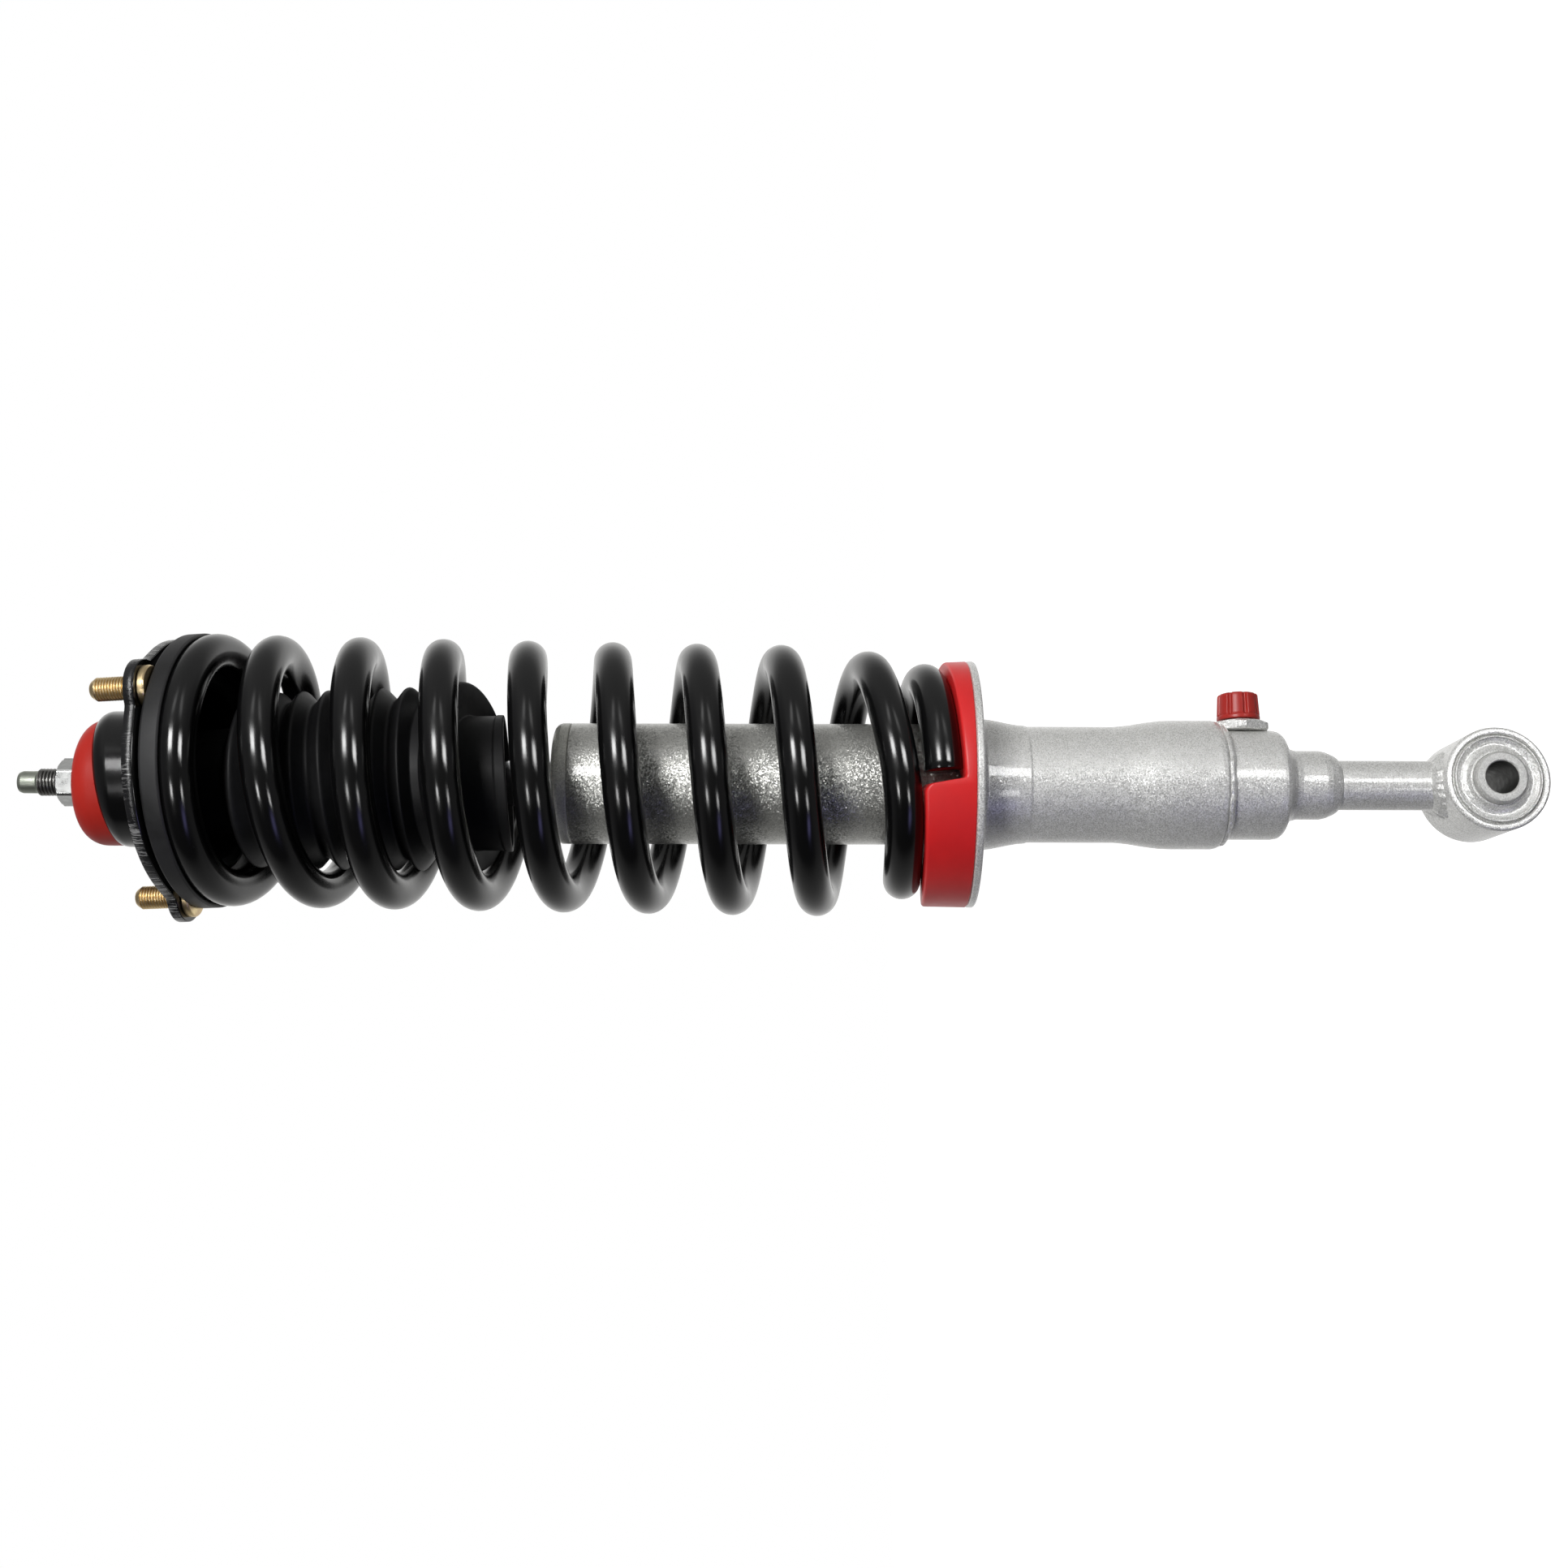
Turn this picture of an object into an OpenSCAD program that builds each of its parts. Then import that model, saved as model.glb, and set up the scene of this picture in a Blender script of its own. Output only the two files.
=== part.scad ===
// Coil-over strut assembly: a twin-tube adjustable damper inside a coil spring,
// with a three-stud top mount and a bushed lower eye.
// Frame: origin at the centre of the lower eye bore, +Z up the strut axis to the
// rod tip, +X towards the damping adjuster, +Y along the eye bore.

/* [Lower eye] */
// Outer radius of the eye barrel
barrel_r = 22.75; // [22:0.05:25]
// Length of the eye barrel along its bore
barrel_len = 37; // [34:0.5:40]
// Wall of the eye barrel
barrel_wall = 3; // [2:0.1:4]
// Outer radius of the bush inner sleeve
sleeve_r = 11.45; // [10:0.05:13]
// Radius of the bolt bore in the sleeve, for an M14 bolt
bolt_r = 7.15; // [6:0.05:8]
// Length of the bush inner sleeve
sleeve_len = 46; // [42:0.5:50]
// Radius of the stem between the eye and the damper
stem_r = 10.95; // [9:0.05:12.5]

/* [Damper] */
// Outer radius of the upper reservoir tube
tube_r = 26.6; // [26:0.1:27]
// Height of the top of the tube cap above the eye
tube_top = 408.5; // [404:0.1:412]
// Inner radius of the pressure tube, which is the damper bore
bore_r = 18; // [17:0.5:19]
// Radius of the chromed piston rod
rod_r = 10; // [9:0.5:11]
// Height of the rod tip above the eye
rod_tip = 645.5; // [644:0.1:650]
// Radius of the threaded rod end, M12
rod_thread_r = 6; // [5.5:0.1:6]
// Stroke from full extension to the bump stop's solid length
stroke = 110; // [60:1:110]

/* [Spring] */
// Wire diameter of the coil spring
wire_d = 16.3; // [14:0.1:16.3]
// Mean radius of the spring's working coils
coil_r = 51.4; // [50:0.05:52]
// Mean radius of the smaller closed end on the lower seat
coil_end_r = 43.7; // [43:0.05:46]
// Turns of wire, end to end
coil_turns = 9.6; // [9.2:0.1:9.7]
// Radius of the lower spring seat and its isolator
seat_r = 54.2; // [53:0.1:56]
// Height of the seat's upper face
seat_z = 228.6; // [227:0.1:230]

/* [Top mount] */
// Height of the centre of the mount plate's upper face
mount_z = 571; // [569:0.1:573]
// Sideways offset of the plate's centre from the rod axis, in its rubber bushings
mount_dx = 3.85; // [3:0.05:5]
// Offset of the plate's centre along Y
mount_dy = -4.7; // [-5.5:0.1:-3]
// Angle between the plate's normal and the rod axis
mount_tilt = 6.4; // [5:0.1:7]
// Direction of the plate's high side, counter-clockwise from +X
mount_dir = -73.2; // [-90:0.1:-60]
// Radius of the mount plate between its ears
plate_r = 58; // [55:0.5:59]
// Thickness of the mount plate
plate_t = 4.6; // [4:0.1:5]
// Pitch circle diameter of the three studs
stud_pcd = 109.5; // [108:0.5:112]
// Direction of the first stud, counter-clockwise from +X
stud_dir = -60; // [-70:1:-50]
// Length of each stud above the plate, M10
stud_len = 18.6; // [16:0.1:22]
// Outer radius of the dome that holds the bushings
dome_r = 29.9; // [29.9:0.1:30.4]
// Height of the dome's top where the rod passes through it
dome_top = 606.3; // [605.5:0.1:607]
// Outer radius of the upper spring insulator
insulator_r = 60; // [59.8:0.1:61]

/* [Adjuster] */
// Height of the adjuster axis above the eye
adj_z = 106.6; // [105:0.1:108]
// Distance of the knob's outer face from the strut axis
knob_end = 40.8; // [38:0.1:44]
// Radius of the adjuster spindle
spindle_r = 4; // [3:0.1:5]

/* [Hidden] */
$fn = 96;

run = 0.05;            // radial clearance of a running fit
shoulder_z = 566;      // shoulder on the rod that carries the top mount
lower_wash_t = 3;
upper_wash_z = 613;    // underside of the upper washer
upper_wash_t = 3;
nut_h = 10.2;
side_a = -9.8;         // the spring's lean is split along these two directions
dir_c = [sin(side_a), -cos(side_a)];
dir_u = [cos(side_a), sin(side_a)];
start_a = side_a - 90 + 6;   // direction of the wire's lower end
wire_r = wire_d / 2;
groove_w = -19;      // depth of the wire's centre below the plate's upper face
dome_x = 1.2;        // the dome's axis, parallel to the rod
dome_y = -1.4;
dome_tilt = 8.7;     // slope of the dome's top, and the direction of its high side
dome_dir = 30;

// ---- helpers -------------------------------------------------------------
// The mount's own frame: origin on the plate's axis, plate_up below its upper face.
module in_mount() {
  translate([mount_dx, mount_dy, mount_z])
    rotate([0, 0, mount_dir]) rotate([0, -mount_tilt, 0]) rotate([0, 0, -mount_dir])
      children();
}
module ring(r_out, r_in, z0, z1) {
  translate([0, 0, z0]) difference() {
    cylinder(r = r_out, h = z1 - z0);
    translate([0, 0, -1]) cylinder(r = r_in, h = z1 - z0 + 2);
  }
}
module along_x(x0, x1, r) {
  translate([x0, 0, adj_z]) rotate([0, 90, 0]) cylinder(r = r, h = x1 - x0);
}
module along_y(y0, y1, r) {
  translate([0, y0, 0]) rotate([-90, 0, 0]) cylinder(r = r, h = y1 - y0);
}
// An arc of profile points about (cx, cy), angles a0 to a1 in n steps.
function arc(cx, cy, rx, ry, a0, a1, n) =
  [for (i = [0:n]) let (a = a0 + (a1 - a0) * i / n) [cx + rx * cos(a), cy + ry * sin(a)]];
function smooth(t) = let (x = min(1, max(0, t))) x * x * (3 - 2 * x);
// Zero below -w, x above +w, and a parabola between.
function ramp(x, w) = x < -w ? 0 : x > w ? x : (x + w) * (x + w) / (4 * w);

// A point of the mount's own frame, in the part's frame.
function in_m(v) = let (
    x1 = v[0] * cos(mount_dir) + v[1] * sin(mount_dir), y1 = v[1] * cos(mount_dir) - v[0] * sin(mount_dir),
    x2 = x1 * cos(mount_tilt) - v[2] * sin(mount_tilt), z2 = x1 * sin(mount_tilt) + v[2] * cos(mount_tilt))
  [x2 * cos(mount_dir) - y1 * sin(mount_dir) + mount_dx, x2 * sin(mount_dir) + y1 * cos(mount_dir) + mount_dy, z2 + mount_z];

// ---- spring centre line ---------------------------------------------------
// t is the wire's angle in degrees, 0 facing dir_c, growing towards dir_u.
// The lower end lies on the seat's ramp, the working coils have a near-constant
// pitch, and the last turn lies in the tilted groove of the upper insulator.
function coil_mean(t) = coil_end_r + (coil_r - coil_end_r) * smooth((t - 290) / 250);
function coil_z(t) =
  241.7 + 0.052 * (t - 6) + 0.073 * ramp(t - 370, 40) - 0.0225 * ramp(t - 600, 60)
  - 0.0131 * ramp(t - 2520, 60) + 0.0131 * ramp(t - 2890, 60) - 0.9 * sin(t) * smooth((t - 500) / 300)
  + 0.8 * smooth((t - 6) / 90) * (1 - smooth((t - 500) / 250)) - 1.1 * (abs(t - 350) < 70 ? 1 + cos(180 * (t - 350) / 70) : 0);
function coil_lean(z) = min(1, max(0, (z - 245) / 310));
function coil_at(t) =
  let (r = coil_mean(t), k = coil_lean(coil_z(t)), s = smooth((t - 3010) / 230), a = t + side_a - 90,
       z = coil_z(t) + smooth((t - 2500) / 500) * r * (0.1 * cos(t) + 0.05 * sin(t)),
       c = r * cos(t) + 0.3 + 5.4 * k * k, u = r * sin(t) + 1.2 + 4.3 * pow(k, 1.4))
  (1 - s) * [dir_c[0] * c + dir_u[0] * u, dir_c[1] * c + dir_u[1] * u, z]
  + s * in_m([coil_r * cos(a), coil_r * sin(a), groove_w]);

function unit(v) = v / norm(v);
module tube_along(pts, r, sides) {
  n = len(pts);
  rings = [for (i = [0:n - 1])
    let (tangent = unit(pts[min(n - 1, i + 1)] - pts[max(0, i - 1)]),
         side = unit(cross(tangent, [0, 0, 1])), up = cross(side, tangent))
    for (k = [0:sides - 1]) pts[i] + r * (cos(360 * k / sides) * side + sin(360 * k / sides) * up)];
  polyhedron(points = rings, faces = concat(
    [[for (k = [0:sides - 1]) k]],
    [for (i = [0:n - 2]) for (k = [0:sides - 1])
      [i * sides + k, (i + 1) * sides + k, (i + 1) * sides + (k + 1) % sides, i * sides + (k + 1) % sides]],
    [[for (k = [sides - 1:-1:0]) (n - 1) * sides + k]]), convexity = 10);
}

// ---- lower eye --------------------------------------------------------------
module bush_inner_sleeve() {
  color([0.78, 0.78, 0.76]) difference() {
    rotate([90, 0, 0]) rotate_extrude() polygon([
      [0, -sleeve_len / 2], [sleeve_r - 0.8, -sleeve_len / 2], [sleeve_r, -sleeve_len / 2 + 0.8],
      [sleeve_r, sleeve_len / 2 - 0.8], [sleeve_r - 0.8, sleeve_len / 2], [0, sleeve_len / 2]]);
    along_y(-sleeve_len / 2 - 1, sleeve_len / 2 + 1, bolt_r);
  }
}
module eye_barrel() {
  h = barrel_len / 2;
  color([0.72, 0.72, 0.71]) rotate([90, 0, 0]) rotate_extrude() polygon([
    [barrel_r - barrel_wall, -h + 0.6], [barrel_r - barrel_wall + 0.6, -h], [barrel_r - 0.8, -h], [barrel_r, -h + 0.8],
    [barrel_r, h - 0.8], [barrel_r - 0.8, h], [barrel_r - barrel_wall + 0.6, h], [barrel_r - barrel_wall, h - 0.6]]);
}
module bush_outer_shell() {
  r = barrel_r - barrel_wall;
  color([0.74, 0.74, 0.73]) rotate([90, 0, 0]) rotate_extrude() polygon([
    [r - 1.55, -18.6], [r - 1.4, -19.1], [r - 1, -19.1], [r - 0.85, -18.7], [r - 0.85, -17.2], [r, -16.6],
    [r, 16.6], [r - 0.85, 17.2], [r - 0.85, 18.7], [r - 1, 19.1], [r - 1.4, 19.1], [r - 1.55, 18.6]]);
}
module bush_rubber() {
  r = barrel_r - barrel_wall - 1.55;
  color([0.7, 0.7, 0.69]) rotate([90, 0, 0]) rotate_extrude() polygon([
    [sleeve_r + run, -19.6], [12.4, -19.3], [13.3, -17.6], [15.2, -16.6], [17, -17], [r, -18],
    [r, 18], [17, 17], [15.2, 16.6], [13.3, 17.6], [12.4, 19.3], [sleeve_r + run, 19.6]]);
}
module lower_stem() {
  color([0.72, 0.72, 0.71]) difference() {
    translate([0, 0, 15]) cylinder(r = stem_r, h = 51);
    along_y(-30, 30, barrel_r);
  }
}
module stem_weld() {
  color([0.72, 0.72, 0.71]) difference() {
    rotate_extrude() polygon([[stem_r, 14], [15, 14], [14.8, 20], [14.1, 22.9], [12.9, 24.7], [stem_r, 26.2]]);
    along_y(-30, 30, barrel_r);
  }
}

// ---- damper body ------------------------------------------------------------
// Room cut out of the base and the tube's end for the adjuster's hexagon
module spot_face() along_x(23.4, 45, 14.8);
module adjuster_housing() {
  color([0.72, 0.72, 0.71]) difference() {
    rotate_extrude() polygon([
      [0, 66], [stem_r, 66], [stem_r, 64.2], [12.3, 65.5], [13.3, 66.9], [13.9, 68.4], [14.6, 69.8], [15.1, 71.4], [15.2, 72.9],
      [15.2, 82.7], [15.5, 84.1], [16.1, 85.6], [17.2, 87.2], [19.3, 88.4], [22.1, 89.9], [23.3, 91.3], [24, 92.9], [24.1, 94],
      [24.1, 114.9], [26, 117.6], [26, 127], [0, 127]]);
    spot_face();
    along_x(14, 30, 8);
    along_x(11, 20, 6.5);
    along_x(-6, 20, spindle_r + run);
    translate([0, 0, 84]) cylinder(r = 3.4, h = 60);
  }
}
module base_weld() {
  color([0.72, 0.72, 0.71]) difference() {
    rotate_extrude() polygon([
      [24.1, 114.9], [24.9, 114.5], [26.2, 114.9], [27.2, 115.9], [27.5, 117], [27.4, 117.6], [26, 117.6]]);
    spot_face();
  }
}
module adjuster_fitting() {
  color([0.72, 0.72, 0.71]) difference() {
    union() {
      along_x(14, 23.4, 8);
      intersection() {
        translate([23.4, 0, adj_z]) rotate([0, 90, 0]) rotate([0, 0, -35]) cylinder(r = 12 / cos(30), h = 4.2, $fn = 6);
        translate([23.4, 0, adj_z]) rotate([0, 90, 0]) cylinder(r1 = 12.4 + 4.2 * 1.73, r2 = 12.4, h = 4.2);
      }
      along_x(27.4, 28.5, 8.4);
    }
    along_x(10, 40, spindle_r + run);
  }
}
module adjuster_seal() {
  color([0.06, 0.06, 0.06]) difference() {
    along_x(11.2, 13.8, 6.5);
    along_x(10, 15, spindle_r + run);
  }
}
module reservoir_tube() {
  w = 2.1;
  color([0.70, 0.70, 0.68]) difference() {
    rotate_extrude() polygon([
      [26, 117.6], [27.4, 117.6], [27.9, 118], [28.3, 119], [28.4, 120.6], [28.4, 138], [28.3, 142], [27.9, 146.6], [26.9, 153],
      [26.1, 157.6], [25.7, 160.6], [25.6, 163], [25.6, 229], [25.9, 230.4], [tube_r - 0.3, 232], [tube_r, 233.6], [tube_r, 401.4],
      [tube_r - w, 401.4], [tube_r - w, 235], [25.6 - w, 231], [25.6 - w, 162], [26, 150], [26, 143]]);
    spot_face();
  }
}
module tube_cap() {
  color([0.62, 0.63, 0.60]) rotate_extrude() polygon([
    [rod_r + 1.2, 400], [tube_r - 2.1, 400], [tube_r - 2.1, 401.4], [tube_r - 0.3, 401.4], [tube_r, 401.8], [tube_r, 405.6],
    [tube_r - 0.6, 407], [tube_r - 1.7, 408], [tube_r - 3.2, tube_top], [rod_r + 4, tube_top], [rod_r + 1.2, tube_top - 1.8]]);
}
module rod_seal() {
  color([0.05, 0.05, 0.05]) rotate_extrude() polygon([
    [rod_r + 0.03, 396.6], [16, 396], [17, 400], [13, 400], [12, 398.4], [rod_r + 0.03, 399.4]]);
}
module rod_guide() {
  color([0.45, 0.45, 0.45]) difference() {
    union() {
      ring(tube_r - 2.1, 17.2, 390, 400);
      ring(tube_r - 2.1, rod_r + run, 386, 395.8);
      ring(bore_r, rod_r + run, 382, 386.5);
    }
    // the foot of the seal's pocket
    translate([0, 0, 395]) cylinder(r = 16.2, h = 10);
  }
}
module pressure_tube() {
  color([0.6, 0.6, 0.6]) ring(bore_r + 1.5, bore_r, 138, 386);
}
module foot_valve() {
  color([0.55, 0.55, 0.5]) difference() {
    union() {
      ring(23.2, 5, 127, 131);
      ring(bore_r + 1.5, 5, 131, 138);
      ring(bore_r, 5, 138, 142);
    }
    for (a = [0:60:300]) rotate([0, 0, a]) translate([13, 0, 120]) cylinder(r = 1.5, h = 30, $fn = 24);
    for (a = [0:90:270]) rotate([0, 0, a + 45]) translate([22.2, 0, 120]) cylinder(r = 2, h = 30, $fn = 24);
  }
}
module spring_seat() {
  color([0.72, 0.72, 0.71]) rotate_extrude() polygon(concat(
    [[25.6, 201.4], [25.9, 202.4], [26.3, 206], [27, 210], [28.5, 217.3]],
    arc(32.4, 221.5, 3.6, 3.6, 190, 90, 6),
    [[seat_r - 0.8, 225.1], [seat_r, 225.9], [seat_r, 227.8], [seat_r - 0.8, seat_z], [25.6, seat_z]]));
}
// A closed ring whose upper face climbs once round under the spring's end, then steps down.
function iso_top(f) =
  let (d = (358 - f) * 0.94)
  241.7 - wire_r - 0.25 + 0.0514 * f + 0.7 * smooth((f - 3) / 90) - 2.2 * smooth((f - 266) / 92) + (d < 5 ? sqrt(max(0, 25 - pow(5 - d, 2))) - 5 : 0);
module lower_spring_isolator() {
  r_in = 31;
  turns = concat([0, 1.2], [for (i = [1:58]) 6 * i], [352.4, 354, 355.6, 357, 358]);
  n = len(turns);
  pts = [for (f = turns) let (a = start_a - 3 + f, c = cos(a), s = sin(a), z = f == 0 ? iso_top(0) + 1 : iso_top(f))
    each [[r_in * c, r_in * s, seat_z], [seat_r * c, seat_r * s, seat_z],
          [seat_r * c, seat_r * s, z - 1.5], [(seat_r - 1.5) * c, (seat_r - 1.5) * s, z],
          [(r_in + 1.5) * c, (r_in + 1.5) * s, z], [r_in * c, r_in * s, z - 1.5]]];
  color([0.72, 0.13, 0.12]) polyhedron(points = pts, faces =
    [for (i = [0:n - 1]) for (k = [0:5]) let (j = (i + 1) % n) [i * 6 + k, j * 6 + k, j * 6 + (k + 1) % 6, i * 6 + (k + 1) % 6]],
    convexity = 8);
}
module coil_spring() {
  steps = round(coil_turns * 24);
  color([0.04, 0.04, 0.045])
    tube_along([for (i = [0:steps]) coil_at(6 + coil_turns * 360 * i / steps)], wire_r, 12);
}

// ---- rod and piston ---------------------------------------------------------
module piston_rod() {
  color([0.82, 0.83, 0.85]) rotate_extrude() polygon(concat(
    [[0, 348], [5, 348], [5, 373], [rod_r - 0.4, 373], [rod_r, 373.4], [rod_r, shoulder_z - 0.6], [rod_r - 0.6, shoulder_z],
     [rod_thread_r, shoulder_z], [rod_thread_r, 635.5], [rod_thread_r - 0.9, 636.4], [4.95, 636.4]],
    arc(3.35, rod_tip - 1.8, 1.6, 1.8, 0, 90, 5), [[0, rod_tip]]));
}
module piston() {
  color([0.5, 0.5, 0.5]) difference() {
    union() {
      ring(bore_r - 1, 5, 355, 369);
      ring(bore_r - 0.4, 5, 355, 357);
      ring(bore_r - 0.4, 5, 367, 369);
    }
    for (a = [0:45:315]) rotate([0, 0, a]) translate([11.5, 0, 350]) cylinder(r = 1.6, h = 30, $fn = 24);
  }
}
module piston_band() {
  color([0.1, 0.1, 0.1]) ring(bore_r - run, bore_r - 1, 357, 367);
}
module piston_shims() {
  color([0.6, 0.6, 0.62]) {
    ring(14.5, 5, 369, 369.6);
    ring(12, 5, 369.6, 370.2);
    ring(9.5, 5, 370.2, 373);
    ring(14.5, 5, 354.4, 355);
    ring(11, 5, 353.8, 354.4);
  }
}
module piston_nut() {
  color([0.6, 0.6, 0.6]) difference() {
    translate([0, 0, 348.4]) cylinder(r = 8.5 / cos(30), h = 5.4, $fn = 6);
    translate([0, 0, 340]) cylinder(r = 5, h = 20);
  }
}
module rebound_stop() {
  color([0.08, 0.08, 0.08]) rotate_extrude() polygon([
    [rod_r, 374], [14, 374], [15.5, 376], [15, 380], [13, 381.6], [rod_r, 381.6]]);
}
module bump_stop() {
  z0 = tube_top + stroke + 0.6;
  color([0.85, 0.78, 0.35]) rotate_extrude() polygon([
    [rod_r, z0 + 2], [11.5, z0], [14, z0], [15.5, z0 + 3], [16.3, z0 + 8], [14.8, z0 + 12], [16.8, z0 + 17],
    [17, z0 + 22], [15, z0 + 26], [17.2, z0 + 31], [17.4, z0 + 36], [17.4, boot_top - 2.4], [rod_r, boot_top - 2.4]]);
}
// Rubber bellows: a neck that slides over the tube, a deep first fold that sags to
// one side, seven even folds, and a narrow neck whose flange the bump stop holds up.
boot_top = 565.9;
boot_pitch = 11.6;
boot_first = 469.7;
// Centre and slope of the folds at each height: towards dir_u, then towards dir_c
function boot_u(z) = lookup(z, [[444.8, 0], [445, 2.75], [469.7, 1.8], [505.7, 1.25], [539.4, 0.8], [559, 0.8], [563.2, 0]]);
function boot_c(z) = lookup(z, [[444.8, 0], [445, 2], [469.7, 2], [505.7, 2.5], [539.4, 3], [559, 3], [563.2, 0]]);
function boot_su(z) = lookup(z, [[469.7, 0.07], [505.7, 0.09], [539.4, 0.04], [559, 0.04], [563.2, 0]]);
function boot_sc(z) = lookup(z, [[430, -0.11], [444.5, 0.25], [449, 0.25], [469.7, 0], [505.7, -0.046], [539.4, 0.05], [559, 0.06], [563.2, 0]]);
function boot_row(r, z) = let (gu = boot_su(z), gc = boot_sc(z), x0 = boot_u(z) * dir_u[0] + boot_c(z) * dir_c[0],
    y0 = boot_u(z) * dir_u[1] + boot_c(z) * dir_c[1], gx = gu * dir_u[0] + gc * dir_c[0], gy = gu * dir_u[1] + gc * dir_c[1])
  [for (k = [0:boot_sides - 1]) let (x = r * cos(360 * k / boot_sides), y = r * sin(360 * k / boot_sides)) [x + x0, y + y0, z + gx * x + gy * y]];
boot_sides = 56;
function crest(i) = 40 - 0.34 * i;
module dust_boot() {
  last = boot_first + 6 * boot_pitch;
  outer = concat(
    [[28.2, 430.2], [28.8, 429.6], [29.6, 429.6], [30.1, 430.4], [30.1, 432], [29.65, 432.8], [29.65, 444], [30.2, 444.6],
     [40.6, 445], [41.5, 446.1], [41.5, 447.1], [40.7, 448.3], [35.2, 455.6], [34, 458], [33.9, 463.2]],
    [for (i = [0:6]) let (z = boot_first + i * boot_pitch, r = crest(i))
      each concat([[r - 0.9, z - 1.5], [r, z], [r - 0.9, z + 1.5]], i < 6 ? [[r - 4.6, z + 5], [r - 4.6, z + 6.6]] : [])],
    [[24.4, last + 7.2], [23, last + 8.6], [23, boot_top - 3.2], [22.4, boot_top - 1], [21.2, boot_top], [10.05, boot_top]]);
  inner = concat(
    [[10.05, boot_top - 2.2], [20.6, boot_top - 2.2], [21.3, boot_top - 3.4], [21.3, last + 8.4], [22.6, last + 5.8]],
    [for (i = [6:-1:0]) let (z = boot_first + i * boot_pitch, r = crest(i)) each [[r - 2.3, z], [i > 0 ? r - 6.2 : 32.3, z - 5.8]]],
    [[32.4, 457.6], [38.6, 448], [39.2, 446.9], [38.6, 446.4], [31, 446.1], [28.2, 444.7]]);
  rows = concat(outer, inner);
  n = len(rows);
  m = boot_sides;
  color([0.05, 0.05, 0.055]) polyhedron(points = [for (q = rows) each boot_row(q[0], q[1])], faces =
    [for (i = [0:n - 1]) for (k = [0:m - 1]) let (j = (i + 1) % n, l = (k + 1) % m) each
      [[i * m + k, j * m + k, j * m + l], [i * m + k, j * m + l, i * m + l]]], convexity = 12);
}

// ---- top mount --------------------------------------------------------------
module lower_washer() {
  color([0.6, 0.6, 0.6]) ring(21, rod_thread_r, shoulder_z, shoulder_z + lower_wash_t);
}
module spacer_sleeve() {
  color([0.6, 0.6, 0.6]) ring(9, rod_thread_r, shoulder_z + lower_wash_t, upper_wash_z);
}
module lower_mount_bushing() {
  color([0.78, 0.2, 0.17]) intersection() {
    ring(21.4, 9, shoulder_z + lower_wash_t, 612);
    dome_shape(3.05);
  }
}
plate_up = 1.4;
// The dome: an upright cylinder under a sloping top with a round shoulder, g smaller all round.
module dome_shape(g) intersection() {
  translate([dome_x, dome_y, 540]) cylinder(r = dome_r - g, h = 90);
  translate([0, 0, dome_top]) rotate([0, 0, dome_dir]) rotate([0, -dome_tilt, 0]) rotate([0, 0, -dome_dir]) translate([dome_x, dome_y, 0])
    rotate_extrude() polygon(concat([[0, -70], [dome_r + 20 - g, -70]], arc(dome_r - 6.4, -8, 8 - g, 8 - g, 0, 90, 8), [[0, -g]]));
}
module ear(r) {
  translate([stud_pcd / 2 - 2.2, 0]) circle(r = r);
  polygon([[plate_r * cos(24), plate_r * sin(24)], [stud_pcd / 2 + 3.1, r - 1.1], [stud_pcd / 2 + 3.1, 1.1 - r],
           [plate_r * cos(24), -plate_r * sin(24)], [40, 0]]);
}
module mount_plate() {
  foot = plate_up - plate_t;
  color([0.05, 0.05, 0.05]) difference() {
    union() {
      in_mount() {
        translate([0, 0, foot]) linear_extrude(plate_t) difference() {
          union() {
            circle(r = plate_r);
            for (k = [0:2]) rotate(stud_dir + 120 * k) ear(13.4);
          }
          for (k = [0:2]) rotate(stud_dir + 120 * k) translate([stud_pcd / 2, 0]) circle(r = 5.4);
        }
        // rolled foot of the dome
        translate([dome_x - mount_dx, dome_y - mount_dy - 0.1, 0]) rotate_extrude() polygon([
          [0, foot + 1], [dome_r + 2.6, foot + 1], [dome_r + 2.6, plate_up + 0.3], [dome_r + 1.6, plate_up + 1.2], [0, plate_up + 1.2]]);
      }
      intersection() {
        dome_shape(0);
        in_mount() translate([0, 0, foot + 1.5]) cylinder(r = 80, h = 80);
      }
    }
    dome_shape(3);
    translate([0, 0, 590]) cylinder(r = 15, h = 40);
  }
}
module stud() {
  translate([0, 0, -plate_t - 3.4]) cylinder(r = 9.2, h = 3.4);
  translate([0, 0, -plate_t - 0.2]) cylinder(r = 5.4, h = plate_t + 0.2);
  cylinder(r = 5, h = stud_len - 2.7);
  translate([0, 0, stud_len - 2.7]) cylinder(r1 = 5, r2 = 2.6, h = 2.7);
}
module mount_studs() {
  color([0.68, 0.56, 0.26]) in_mount() for (k = [0:2]) rotate(stud_dir + 120 * k) translate([stud_pcd / 2, 0, plate_up]) stud();
}
module spring_insulator() {
  foot = plate_up - plate_t;
  color([0.07, 0.07, 0.07]) in_mount() difference() {
    rotate_extrude() difference() {
      polygon([[37, foot], [52, foot], [53.5, foot - 1], [54.5, -6], [insulator_r - 1, -6.4], [insulator_r, -7.4],
               [insulator_r, -14.2], [insulator_r - 0.6, -14.8], [42.4, -14.8], [38.6, -14], [37, -12.4]]);
      translate([coil_r, groove_w]) circle(r = wire_r + 0.35);
    }
    // pockets over the stud heads
    for (k = [0:2]) rotate(stud_dir + 120 * k) translate([stud_pcd / 2, 0, foot - 3.6]) cylinder(r = 9.4, h = 10);
  }
}
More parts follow.
